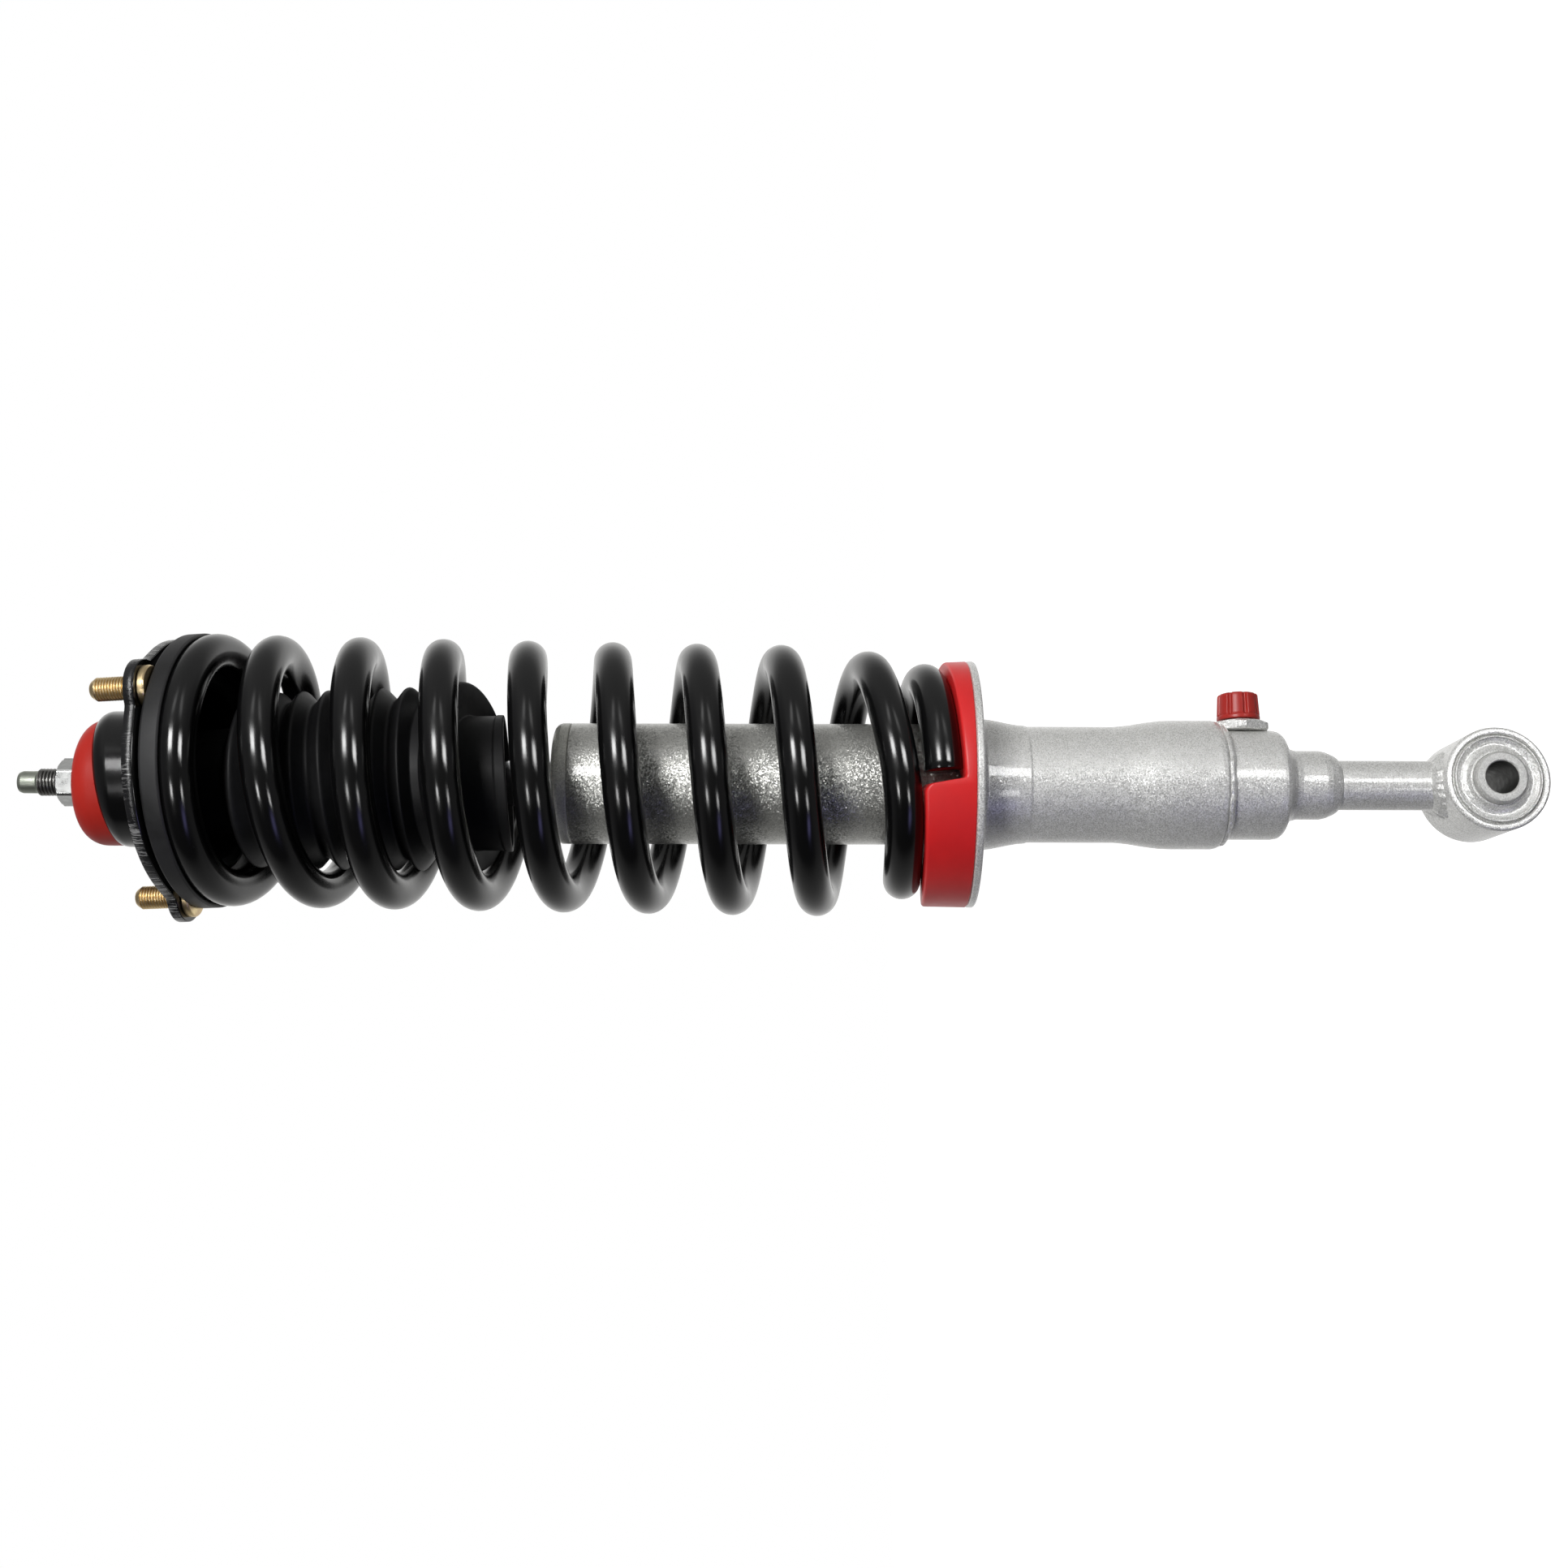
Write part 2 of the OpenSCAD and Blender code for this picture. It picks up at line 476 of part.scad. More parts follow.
module upper_mount_bushing() {
  color([0.78, 0.22, 0.18]) difference() {
    rotate_extrude() polygon(concat(
      [[9, 600.6], [9, upper_wash_z], [18.2, upper_wash_z]],
      arc(19.5, 605, 8.4, 9.6, 97, 0, 10),
      [[27.9, 597.4], [26.6, 595.2], [19, 595.2], [19, 600.6]]));
    dome_shape(0);
  }
}
module upper_washer() {
  color([0.7, 0.7, 0.7]) ring(18, rod_thread_r, upper_wash_z, upper_wash_z + upper_wash_t);
}
module rod_nut() {
  z = upper_wash_z + upper_wash_t;
  color([0.8, 0.8, 0.78]) difference() {
    intersection() {
      translate([0, 0, z]) rotate([0, 0, side_a]) cylinder(r = 9.5 / cos(30), h = nut_h, $fn = 6);
      translate([0, 0, z]) cylinder(r1 = 9.3 + nut_h * 1.73, r2 = 9.3, h = nut_h);
    }
    translate([0, 0, z - 1]) cylinder(r = rod_thread_r, h = nut_h + 2);
  }
}

// ---- adjuster ---------------------------------------------------------------
module adjuster_spindle() {
  color([0.65, 0.6, 0.5]) difference() {
    union() {
      along_x(-4, 36, spindle_r);
    }
    translate([1.5, 0, adj_z - 10]) cylinder(r = 1.4, h = 20);
    along_x(30, 40, 1.5);
  }
}
module adjuster_knob() {
  n = 8;
  x0 = 28.9;
  color([0.62, 0.11, 0.10]) difference() {
    translate([x0, 0, adj_z]) rotate([0, 90, 0]) union() {
      cylinder(r = 9.4, h = 1.6);
      translate([0, 0, 1.5]) linear_extrude(knob_end - x0 - 1.5) union() {
        circle(r = 8.2);
        for (k = [0:n - 1]) rotate(360 * (k + 0.5) / n) translate([7.2, 0]) circle(r = 1.75);
      }
    }
    along_x(20, 36, spindle_r);
    along_x(35, 37.4, 1.5);
    along_x(37.4, 50, 3.4);
  }
}
module knob_screw() {
  color([0.6, 0.6, 0.6]) union() {
    along_x(31, 37.4, 1.5);
    along_x(37.4, 39.2, 3.2);
  }
}

bush_inner_sleeve();
eye_barrel();
bush_outer_shell();
bush_rubber();
lower_stem();
stem_weld();
adjuster_housing();
base_weld();
adjuster_fitting();
adjuster_seal();
reservoir_tube();
tube_cap();
rod_seal();
rod_guide();
pressure_tube();
foot_valve();
spring_seat();
lower_spring_isolator();
coil_spring();
piston_rod();
piston();
piston_band();
piston_shims();
piston_nut();
rebound_stop();
bump_stop();
dust_boot();
lower_washer();
lower_mount_bushing();
spacer_sleeve();
mount_plate();
mount_studs();
spring_insulator();
upper_mount_bushing();
upper_washer();
rod_nut();
adjuster_spindle();
adjuster_knob();
knob_screw();
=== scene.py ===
import math
import bpy
import bmesh
from mathutils import Matrix, Vector


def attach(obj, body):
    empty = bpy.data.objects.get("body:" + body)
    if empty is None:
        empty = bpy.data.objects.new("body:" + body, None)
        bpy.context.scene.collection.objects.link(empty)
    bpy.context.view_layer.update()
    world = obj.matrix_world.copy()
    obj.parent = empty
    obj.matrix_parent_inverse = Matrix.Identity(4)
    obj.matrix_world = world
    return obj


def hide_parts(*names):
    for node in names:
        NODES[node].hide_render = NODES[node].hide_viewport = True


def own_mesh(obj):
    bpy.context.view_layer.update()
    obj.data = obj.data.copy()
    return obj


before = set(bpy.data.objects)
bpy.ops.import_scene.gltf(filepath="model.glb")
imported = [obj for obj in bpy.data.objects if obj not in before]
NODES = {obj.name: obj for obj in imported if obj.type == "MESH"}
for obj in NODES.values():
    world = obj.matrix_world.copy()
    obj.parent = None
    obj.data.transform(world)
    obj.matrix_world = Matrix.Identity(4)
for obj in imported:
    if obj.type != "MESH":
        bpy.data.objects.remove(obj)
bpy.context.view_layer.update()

MM = 0.001
scene = bpy.context.scene

# ---------------------------------------------------------------- camera
SIDE = math.radians(-9.8)
C = Vector((math.sin(SIDE), -math.cos(SIDE), 0.0))      # towards the camera
U = Vector((math.cos(SIDE), math.sin(SIDE), 0.0))       # the picture's up
Z = Vector((0.0, 0.0, 1.0))
ROLL = 0.0025
CAM_D, CAM_Z = 0.795, 0.3082
cam_data = bpy.data.cameras.new("camera")
cam_data.sensor_width = 36.0
cam_data.lens = 36.0 * 2220.0 / 1932.0
cam_data.clip_start, cam_data.clip_end = 0.01, 50.0
cam = bpy.data.objects.new("camera", cam_data)
scene.collection.objects.link(cam)
right = -Z * math.cos(ROLL) + U * math.sin(ROLL)
up = U * math.cos(ROLL) + Z * math.sin(ROLL)
cam.matrix_world = Matrix((
    (right.x, up.x, C.x, C.x * CAM_D), (right.y, up.y, C.y, C.y * CAM_D),
    (right.z, up.z, C.z, CAM_Z), (0, 0, 0, 1)))
scene.camera = cam
scene.view_settings.view_transform = "Standard"
scene.view_settings.look = "None"


# ---------------------------------------------------------------- materials
def new_material(name):
    m = bpy.data.materials.new(name)
    m.use_nodes = True
    nt = m.node_tree
    return m, nt, nt.nodes["Principled BSDF"]


def node(nt, kind, inputs=None, **attrs):
    n = nt.nodes.new(kind)
    for k, v in attrs.items():
        setattr(n, k, v)
    for k, v in (inputs or {}).items():
        if isinstance(v, bpy.types.NodeSocket):
            nt.links.new(v, n.inputs[k])
        else:
            n.inputs[k].default_value = v
    return n


def coords(nt, scale=(1, 1, 1)):
    t = node(nt, "ShaderNodeTexCoord")
    return node(nt, "ShaderNodeMapping", {"Vector": t.outputs["Object"], "Scale": scale}).outputs["Vector"]


def noise(nt, scale, vec=None, detail=3.0, rough=0.55, out="Fac"):
    return node(nt, "ShaderNodeTexNoise", {"Vector": vec or coords(nt), "Scale": scale, "Detail": detail, "Roughness": rough}).outputs[out]


def ramp(nt, fac, stops, interpolation="LINEAR"):
    r = node(nt, "ShaderNodeValToRGB", {"Fac": fac})
    r.color_ramp.interpolation = interpolation
    first, last = r.color_ramp.elements
    first.position, last.position = stops[0][0], stops[-1][0]
    for pos, _ in stops[1:-1]:
        r.color_ramp.elements.new(pos)
    for e, (pos, col) in zip(r.color_ramp.elements, stops):
        e.color = (*col, 1.0) if len(col) == 3 else col
    return r.outputs["Color"]


def span(nt, fac, lo, hi, a=0.0, b=1.0):
    return node(nt, "ShaderNodeMapRange", {"Value": fac, "From Min": a, "From Max": b, "To Min": lo, "To Max": hi}).outputs["Result"]


def math_node(nt, op, a, b=0.0):
    n = node(nt, "ShaderNodeMath", operation=op)
    for i, v in enumerate((a, b)):
        if isinstance(v, bpy.types.NodeSocket):
            nt.links.new(v, n.inputs[i])
        else:
            n.inputs[i].default_value = v
    return n.outputs["Value"]


def mix(nt, fac, a, b, blend="MIX"):
    n = node(nt, "ShaderNodeMix", data_type="RGBA", blend_type=blend)
    for i, v in ((0, fac), (6, a), (7, b)):
        if isinstance(v, bpy.types.NodeSocket):
            nt.links.new(v, n.inputs[i])
        else:
            n.inputs[i].default_value = v if i == 0 else (*v, 1.0)
    return n.outputs[2]


def bump(nt, bsdf, height, strength=0.2, distance=0.0002, normal=None):
    n = node(nt, "ShaderNodeBump", {"Height": height, "Strength": strength, "Distance": distance})
    if normal is not None:
        nt.links.new(normal, n.inputs["Normal"])
    nt.links.new(n.outputs["Normal"], bsdf.inputs["Normal"])
    return n.outputs["Normal"]


def put(nt, bsdf, **values):
    for k, v in values.items():
        s = bsdf.inputs[k.replace("_", " ")]
        if isinstance(v, bpy.types.NodeSocket):
            nt.links.new(v, s)
        else:
            s.default_value = (*v, 1.0) if isinstance(v, tuple) and len(v) == 3 else v


def flake_paint(name, base, spread=0.13, grain=1500.0, rough=0.42, metallic=0.75, tone_span=0.16, coat=0.5):
    """Silver paint with coarse metallic flake: every flake is tilted its own way, so it sparkles near a highlight."""
    m, nt, b = new_material(name)
    v = coords(nt)
    cell = node(nt, "ShaderNodeTexVoronoi", {"Vector": v, "Scale": grain, "Randomness": 1.0})
    fine = node(nt, "ShaderNodeTexVoronoi", {"Vector": v, "Scale": grain * 2.3, "Randomness": 1.0})
    both = node(nt, "ShaderNodeMix", {0: 0.4, 4: cell.outputs["Color"], 5: fine.outputs["Color"]}, data_type="VECTOR")
    tilt = node(nt, "ShaderNodeVectorMath", {0: both.outputs[1], 1: (0.5, 0.5, 0.5)}, operation="SUBTRACT")
    tilt = node(nt, "ShaderNodeVectorMath", {0: tilt.outputs["Vector"], "Scale": spread * 4.0}, operation="SCALE")
    normal = node(nt, "ShaderNodeNewGeometry").outputs["Normal"]
    normal = node(nt, "ShaderNodeVectorMath", {0: normal, 1: tilt.outputs["Vector"]}, operation="ADD")
    normal = node(nt, "ShaderNodeVectorMath", {0: normal.outputs["Vector"]}, operation="NORMALIZE")
    tone = node(nt, "ShaderNodeSeparateColor", {"Color": cell.outputs["Color"]})
    cloud = noise(nt, 220.0, v, 4.0)
    level = math_node(nt, "ADD", math_node(nt, "MULTIPLY", tone.outputs["Red"], 0.75), math_node(nt, "MULTIPLY", cloud, 0.25))
    lo = tuple(x * (1 - tone_span) for x in base)
    hi = tuple(min(1.0, x * (1 + tone_span)) for x in base)
    put(nt, b, Base_Color=ramp(nt, level, [(0.15, lo), (0.5, base), (0.85, hi)]), Metallic=metallic,
        Roughness=span(nt, tone.outputs["Green"], rough - 0.08, rough + 0.1))
    nt.links.new(normal.outputs["Vector"], b.inputs["Normal"])
    b.inputs["Coat Weight"].default_value = coat
    b.inputs["Coat Roughness"].default_value = 0.10
    lay = node(nt, "ShaderNodeBump", {"Height": noise(nt, 900.0, v, 1.0), "Strength": 0.03, "Distance": 0.0001})
    nt.links.new(lay.outputs["Normal"], b.inputs["Coat Normal"])
    return m


def gloss_black(name, base=(0.0035, 0.0035, 0.0038), rough=0.17, peel=0.05, dust=0.0):
    m, nt, b = new_material(name)
    v = coords(nt)
    spots = noise(nt, 900.0, v, 2.0)
    wide = noise(nt, 70.0, v, 3.0)
    scuff = noise(nt, 240.0, v, 6.0, 0.7)
    marks = ramp(nt, scuff, [(0.70, (0, 0, 0)), (0.78, (1, 1, 1))])
    col = mix(nt, math_node(nt, "MULTIPLY", marks, 0.35 + dust), base, (0.05, 0.05, 0.05))
    put(nt, b, Base_Color=col, Roughness=span(nt, wide, rough - 0.03, rough + 0.07, 0.3, 0.7))
    b.inputs["IOR"].default_value = 1.52
    h = math_node(nt, "ADD", math_node(nt, "MULTIPLY", spots, 0.15), wide)
    bump(nt, b, h, peel, 0.0006)
    return m


def rubber(name, base=(0.016, 0.016, 0.017), rough=0.52, light=(0.045, 0.045, 0.048), shine=0.45):
    m, nt, b = new_material(name)
    v = coords(nt)
    grain = noise(nt, 1800.0, v, 3.0)
    wide = noise(nt, 45.0, v, 5.0, 0.65)
    put(nt, b, Base_Color=mix(nt, span(nt, wide, 0.0, 0.7, 0.35, 0.75), base, light), Roughness=span(nt, wide, rough - 0.06, rough + 0.12, 0.3, 0.7))
    b.inputs["Specular IOR Level"].default_value = shine
    bump(nt, b, math_node(nt, "ADD", grain, math_node(nt, "MULTIPLY", wide, 2.0)), 0.12, 0.0002)
    return m


def urethane(name, base, shade, rough=0.42, shine=0.5):
    m, nt, b = new_material(name)
    v = coords(nt)
    wide = noise(nt, 38.0, v, 4.0)
    grain = noise(nt, 1400.0, v, 2.0)
    specks = ramp(nt, noise(nt, 520.0, v, 5.0, 0.7), [(0.66, (0, 0, 0)), (0.74, (1, 1, 1))])
    col = mix(nt, span(nt, wide, 0.0, 1.0, 0.3, 0.7), base, shade)
    col = mix(nt, math_node(nt, "MULTIPLY", specks, 0.25), col, tuple(x * 0.55 for x in base))
    put(nt, b, Base_Color=col, Roughness=span(nt, wide, rough - 0.05, rough + 0.08, 0.3, 0.7))
    b.inputs["Subsurface Weight"].default_value = 0.08
    b.inputs["Specular IOR Level"].default_value = shine
    b.inputs["Subsurface Radius"].default_value = (0.002, 0.0006, 0.0004)
    bump(nt, b, math_node(nt, "ADD", grain, math_node(nt, "MULTIPLY", wide, 1.5)), 0.10, 0.0002)
    return m


def metal(name, base, other, rough=0.28, lines=None, strength=0.1, metallic=1.0, spots=110.0):
    m, nt, b = new_material(name)
    v = coords(nt)
    wide = noise(nt, spots, v, 5.0, 0.6)
    put(nt, b, Base_Color=mix(nt, span(nt, wide, 0.0, 1.0, 0.32, 0.68), base, other), Metallic=metallic, Roughness=span(nt, wide, rough - 0.06, rough + 0.1, 0.3, 0.7))
    grain = noise(nt, 900.0, coords(nt, lines) if lines else v, 3.0)
    bump(nt, b, grain, strength, 0.0001)
    return m


M_SILVER = flake_paint("silver_flake_paint", (0.80, 0.80, 0.775), spread=0.13, grain=2600.0, rough=0.42, metallic=0.42, tone_span=0.28, coat=0.5)
# a darker copy of the silver paint: painted shade of the coil spring on the tube inside it
M_SILVER_PAINTED_COIL_SHADE = flake_paint("silver_paint_painted_coil_shade", (0.58, 0.58, 0.55), spread=0.15, grain=2000.0, rough=0.36, metallic=0.75, tone_span=0.20, coat=0.5)
M_SLEEVE = flake_paint("sleeve_paint", (0.60, 0.60, 0.58), spread=0.13, grain=2600.0, rough=0.50, metallic=0.30, coat=0.20)
M_SILVER_CAP = flake_paint("silver_cap_paint", (0.74, 0.745, 0.68), spread=0.09, grain=2600.0, rough=0.5, metallic=0.4, coat=0.35)
M_COIL = gloss_black("black_coil_paint")
M_PLATE = gloss_black("black_plate_paint", rough=0.15, peel=0.04)
M_BOOT = rubber("boot_rubber", (0.005, 0.005, 0.0055), 0.50, (0.012, 0.012, 0.013), 0.24)
M_INSULATOR = rubber("insulator_rubber", (0.009, 0.009, 0.0095), 0.5, (0.026, 0.026, 0.028))
M_RUBBER = rubber("seal_rubber")
M_RED = urethane("red_urethane", (0.54, 0.028, 0.018), (0.45, 0.020, 0.014), 0.46, 0.22)
M_RED_LOW = urethane("red_isolator_urethane", (0.84, 0.022, 0.024), (0.72, 0.016, 0.019), 0.38)
M_KNOB = urethane("red_knob_plastic", (0.50, 0.030, 0.022), (0.42, 0.022, 0.018), 0.36)
M_CHROME = metal("hard_chrome", (0.80, 0.81, 0.83), (0.72, 0.73, 0.75), 0.12, (1, 1, 30), 0.04)
M_ZINC = metal("bright_zinc", (0.78, 0.79, 0.78), (0.62, 0.63, 0.62), 0.30, None, 0.15, spots=320.0)
M_TIP = metal("rod_tip_zinc", (0.43, 0.45, 0.39), (0.33, 0.355, 0.305), 0.38, None, 0.2, 0.9, 300.0)
M_THREAD = metal("rod_thread_steel", (0.26, 0.26, 0.25), (0.14, 0.135, 0.13), 0.34, None, 0.15, 0.95, 400.0)
M_YELLOW = metal("yellow_zinc", (0.80, 0.62, 0.36), (0.72, 0.56, 0.32), 0.36, None, 0.04, 1.0, 260.0)
M_HEAD = metal("yellow_zinc_head", (0.78, 0.63, 0.34), (0.66, 0.50, 0.30), 0.32, None, 0.12, 1.0, 190.0)
M_STEEL = metal("turned_steel", (0.56, 0.56, 0.55), (0.46, 0.46, 0.45), 0.32, (1, 1, 25), 0.1)
# near-black steel for the sleeve's bore: painted shade deep inside the bore
M_BORE_PAINTED_SHADE = metal("bore_painted_shade_steel", (0.11, 0.11, 0.105), (0.07, 0.07, 0.065), 0.42, None, 0.1, 0.8, 300.0)
M_SINTER = metal("sintered_iron", (0.22, 0.22, 0.21), (0.14, 0.14, 0.13), 0.5, None, 0.3, 0.8, 500.0)
M_BAND = rubber("slide_band_ptfe", (0.05, 0.035, 0.025), 0.4, (0.07, 0.05, 0.035))
M_FOAM = urethane("bump_stop_foam", (0.60, 0.47, 0.16), (0.50, 0.38, 0.12), 0.7)
M_FLOOR, nt_floor, b_floor = new_material("white_floor")
put(nt_floor, b_floor, Base_Color=mix(nt_floor, noise(nt_floor, 3.0), (0.90, 0.90, 0.90), (0.93, 0.93, 0.93)), Roughness=0.9)
b_floor.inputs["Emission Color"].default_value = (1, 1, 1, 1)
b_floor.inputs["Emission Strength"].default_value = 0.80


def sheared_edge():
    """Gloss paint over a sheared edge: fine bright striations across the plate's thickness, painted into the colour as
    partly bare metal and partly painted highlights.
    """
    m, nt, b = new_material("sheared_edge_paint_painted_highlights")
    v = coords(nt, (1, 1, 0.06))
    n = noise(nt, 1500.0, v, 3.0, 0.6)
    patch = noise(nt, 42.0, coords(nt), 2.0)
    # bright striations in the colour: partly bare sheared metal, partly painted highlights of the lamps on the
    # striations
    bright = math_node(nt, "MULTIPLY", ramp(nt, n, [(0.50, (0, 0, 0)), (0.62, (1, 1, 1))]), ramp(nt, patch, [(0.42, (0, 0, 0)), (0.58, (1, 1, 1))]))
    put(nt, b, Base_Color=mix(nt, bright, (0.012, 0.012, 0.013), (0.62, 0.62, 0.61)), Roughness=0.22, Metallic=span(nt, bright, 0.0, 0.6))
    bump(nt, b, n, 0.5, 0.0005)
    return m


M_EDGE = sheared_edge()

# ---------------------------------------------------------------- shapes
MOUNT_TILT, MOUNT_DIR = math.radians(6.4), math.radians(-73.2)
MOUNT = (Matrix.Translation((3.85, -4.7, 571.0)) @ Matrix.Rotation(MOUNT_DIR, 4, "Z")
         @ Matrix.Rotation(-MOUNT_TILT, 4, "Y") @ Matrix.Rotation(-MOUNT_DIR, 4, "Z"))
ALONG_Y = Matrix.Rotation(math.radians(90), 4, "X")        # turned along the eye bore
TO_X = Matrix.Translation((0, 0, 106.6)) @ Matrix.Rotation(math.radians(90), 4, "Y")


def build(name, verts, faces, body, mats, nodes=(), mat_ids=None, place=None, sharp=35.0, flat=False):
    """A mesh piece from points in millimetres, closed faces outwards, riding on a body."""
    me = bpy.data.meshes.new(name)
    place = place or Matrix.Identity(4)
    me.from_pydata([tuple((place @ Vector(p)) * MM) for p in verts], [], faces)
    for m in (mats if isinstance(mats, (list, tuple)) else [mats]):
        me.materials.append(m)
    if mat_ids:
        me.polygons.foreach_set("material_index", mat_ids)
    bm = bmesh.new()
    bm.from_mesh(me)
    bmesh.ops.remove_doubles(bm, verts=bm.verts, dist=1e-7)
    bmesh.ops.recalc_face_normals(bm, faces=bm.faces)
    bm.to_mesh(me)
    bm.free()
    if not flat:
        me.shade_smooth()
        me.set_sharp_from_angle(angle=math.radians(sharp))
    o = bpy.data.objects.new(name, me)
    scene.collection.objects.link(o)
    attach(o, body)
    if nodes:
        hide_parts(*nodes)
    return o


def soft(pts, r=0.5, k=4, closed=True):
    """The profile with its corners rounded. A point may carry its own radius."""
    n, out = len(pts), []
    for i, p in enumerate(pts):
        rad = p[2] if len(p) > 2 else r
        if not closed and i in (0, n - 1):
            out.append((p[0], p[1]))
            continue
        a, b = pts[i - 1], pts[(i + 1) % n]
        va, vb = Vector((a[0] - p[0], a[1] - p[1])), Vector((b[0] - p[0], b[1] - p[1]))
        if rad <= 0 or va.length < 1e-6 or vb.length < 1e-6 or p[0] <= 1e-6:
            out.append((p[0], p[1]))
            continue
        ang = va.angle(vb)
        if ang > math.radians(174):
            out.append((p[0], p[1]))
            continue
        t = min(rad / math.tan(ang / 2), va.length * 0.48, vb.length * 0.48)
        s, e, c = Vector(p[:2]) + va.normalized() * t, Vector(p[:2]) + vb.normalized() * t, Vector(p[:2])
        for j in range(k + 1):
            f = j / k
            q = s * (1 - f) ** 2 + c * 2 * f * (1 - f) + e * f * f
            out.append((q.x, q.y))
    return out


def lathe_geo(profile, n=192, warp=None):
    """Vertices and faces of a closed profile turned about Z. warp(x, y, z, angle) may move each point."""
    verts, rings = [], []
    for r, z in profile:
        if r < 1e-6:
            rings.append([len(verts)])
            verts.append((0.0, 0.0, z))
        else:
            rings.append(list(range(len(verts), len(verts) + n)))
            for i in range(n):
                a = 2 * math.pi * i / n
                p = (r * math.cos(a), r * math.sin(a), z)
                verts.append(warp(*p, a) if warp else p)
    faces = []
    for j in range(len(rings)):
        a, b = rings[j], rings[(j + 1) % len(rings)]
        if len(a) == 1 and len(b) == 1:
            continue
        for i in range(n):
            k = (i + 1) % n
            if len(a) == 1:
                faces.append((a[0], b[i], b[k]))
            elif len(b) == 1:
                faces.append((a[i], b[0], a[k]))
            else:
                faces.append((a[i], b[i], b[k], a[k]))
    return verts, faces


def lathe(name, profile, body, mats, nodes=(), n=192, place=None, warp=None, sharp=35.0):
    v, f = lathe_geo(profile, n, warp)
    return build(name, v, f, body, mats, nodes, place=place, sharp=sharp)


def wave(x):
    """Thread section: 1 on the crest, 0 at the root, over one pitch."""
    x = x - math.floor(x)
    up = min(1.0, abs(x - 0.5) * 2.5)
    return max(0.0, min(1.0, (up - 0.14) / 0.72))


def threaded(name, radius, pitch, z0, z1, lower, upper, body, mats, nodes=(), n=72, place=None, fade=1.2, per=12, hand=1, mat_split=None):
    """A turned bar with a real helical thread from z0 to z1. lower and upper are the profiles that close it, [(r, z)...] from and to the axis."""
    rows = [(r, z, 0.0) for r, z in lower]
    count = int((z1 - z0) / pitch * per)
    for i in range(count + 1):
        z = z0 + (z1 - z0) * i / count
        rows.append((radius, z, max(0.0, min(1.0, (z - z0) / fade, (z1 - z) / fade))))
    rows += [(r, z, 0.0) for r, z in upper]
    depth = 0.6134 * pitch
    verts, rings = [], []
    for r, z, k in rows:
        if r < 1e-6:
            rings.append([len(verts)])
            verts.append((0.0, 0.0, z))
            continue
        rings.append(list(range(len(verts), len(verts) + n)))
        for i in range(n):
            a = 2 * math.pi * i / n
            rr = r - depth * k * (1 - wave(z / pitch - hand * a / (2 * math.pi))) if k else r
            verts.append((rr * math.cos(a), rr * math.sin(a), z))
    faces, ids = [], []
    for a, b in zip(rings, rings[1:]):
        for i in range(n):
            k = (i + 1) % n
            if len(a) == 1:
                faces.append((a[0], b[k], b[i]))
            elif len(b) == 1:
                faces.append((a[i], a[k], b[0]))
            else:
                faces.append((a[i], a[k], b[k], b[i]))
            zz = verts[faces[-1][-1]][2]
            ids.append(0 if mat_split is None else sum(zz > s for s in mat_split))
    return build(name, verts, faces, body, mats, nodes, mat_ids=ids, place=place, sharp=50.0)


def smoothstep(t):
    t = min(1.0, max(0.0, t))
    return t * t * (3 - 2 * t)


def arc(cx, cz, rx, rz, a0, a1, k=8):
    return [(cx + rx * math.cos(math.radians(a0 + (a1 - a0) * i / k)), cz + rz * math.sin(math.radians(a0 + (a1 - a0) * i / k))) for i in range(k + 1)]


def hashed(*v):
    """A repeatable number from 0 to 1."""
    s = math.sin(sum(x * k for x, k in zip(v, (12.9898, 78.233, 37.719)))) * 43758.5453
    return s - math.floor(s)


def lump(a, k, seed):
    """A smooth, repeatable wobble round a circle, about -1 to 1."""
    return sum(math.sin(a * f + 6.28 * hashed(seed, f)) / (1 + i * 0.5) for i, f in enumerate((k, 2 * k + 1, 3 * k + 2))) / 1.9


# ---------------------------------------------------------------- lower eye
sleeve = lathe("eye_sleeve", soft([(7.15, -22.5, 0), (7.6, -23, 0.1), (10.5, -23, 0.3), (11.45, -22.0, 0.5), (11.45, 22.0, 0.5), (10.5, 23, 0.3), (7.6, 23, 0.1), (7.15, 22.5, 0)], closed=True), "sleeve", [M_SLEEVE, M_BORE_PAINTED_SHADE], ["bush_inner_sleeve"], place=ALONG_Y)
# faces inside the bore take the near-black steel: painted shade in the bore
for f in sleeve.data.polygons:
    f.material_index = 1 if math.hypot(f.center.x, f.center.z) < 0.00722 else 0
lathe("eye_barrel_tube", soft([(19.75, -17.9, 0.5), (20.3, -18.5, 0.4), (22.0, -18.5, 0.8), (22.75, -17.6, 0.8), (22.75, 17.6, 0.8), (22.0, 18.5, 0.8), (20.3, 18.5, 0.4), (19.75, 17.9, 0.5)]),
      "damper", M_SILVER, ["eye_barrel"], place=ALONG_Y)
lathe("eye_bush_shell", soft([(18.2, -18.7, 0.2), (18.4, -19.1, 0.2), (18.75, -19.1, 0.2), (18.9, -18.7, 0.3), (18.9, -17.2, 0.3), (19.75, -16.7, 0.3),
                              (19.75, 16.7, 0.3), (18.9, 17.2, 0.3), (18.9, 18.7, 0.3), (18.75, 19.1, 0.2), (18.4, 19.1, 0.2), (18.2, 18.7, 0.2)]),
      "damper", M_SILVER, ["bush_outer_shell"], place=ALONG_Y)
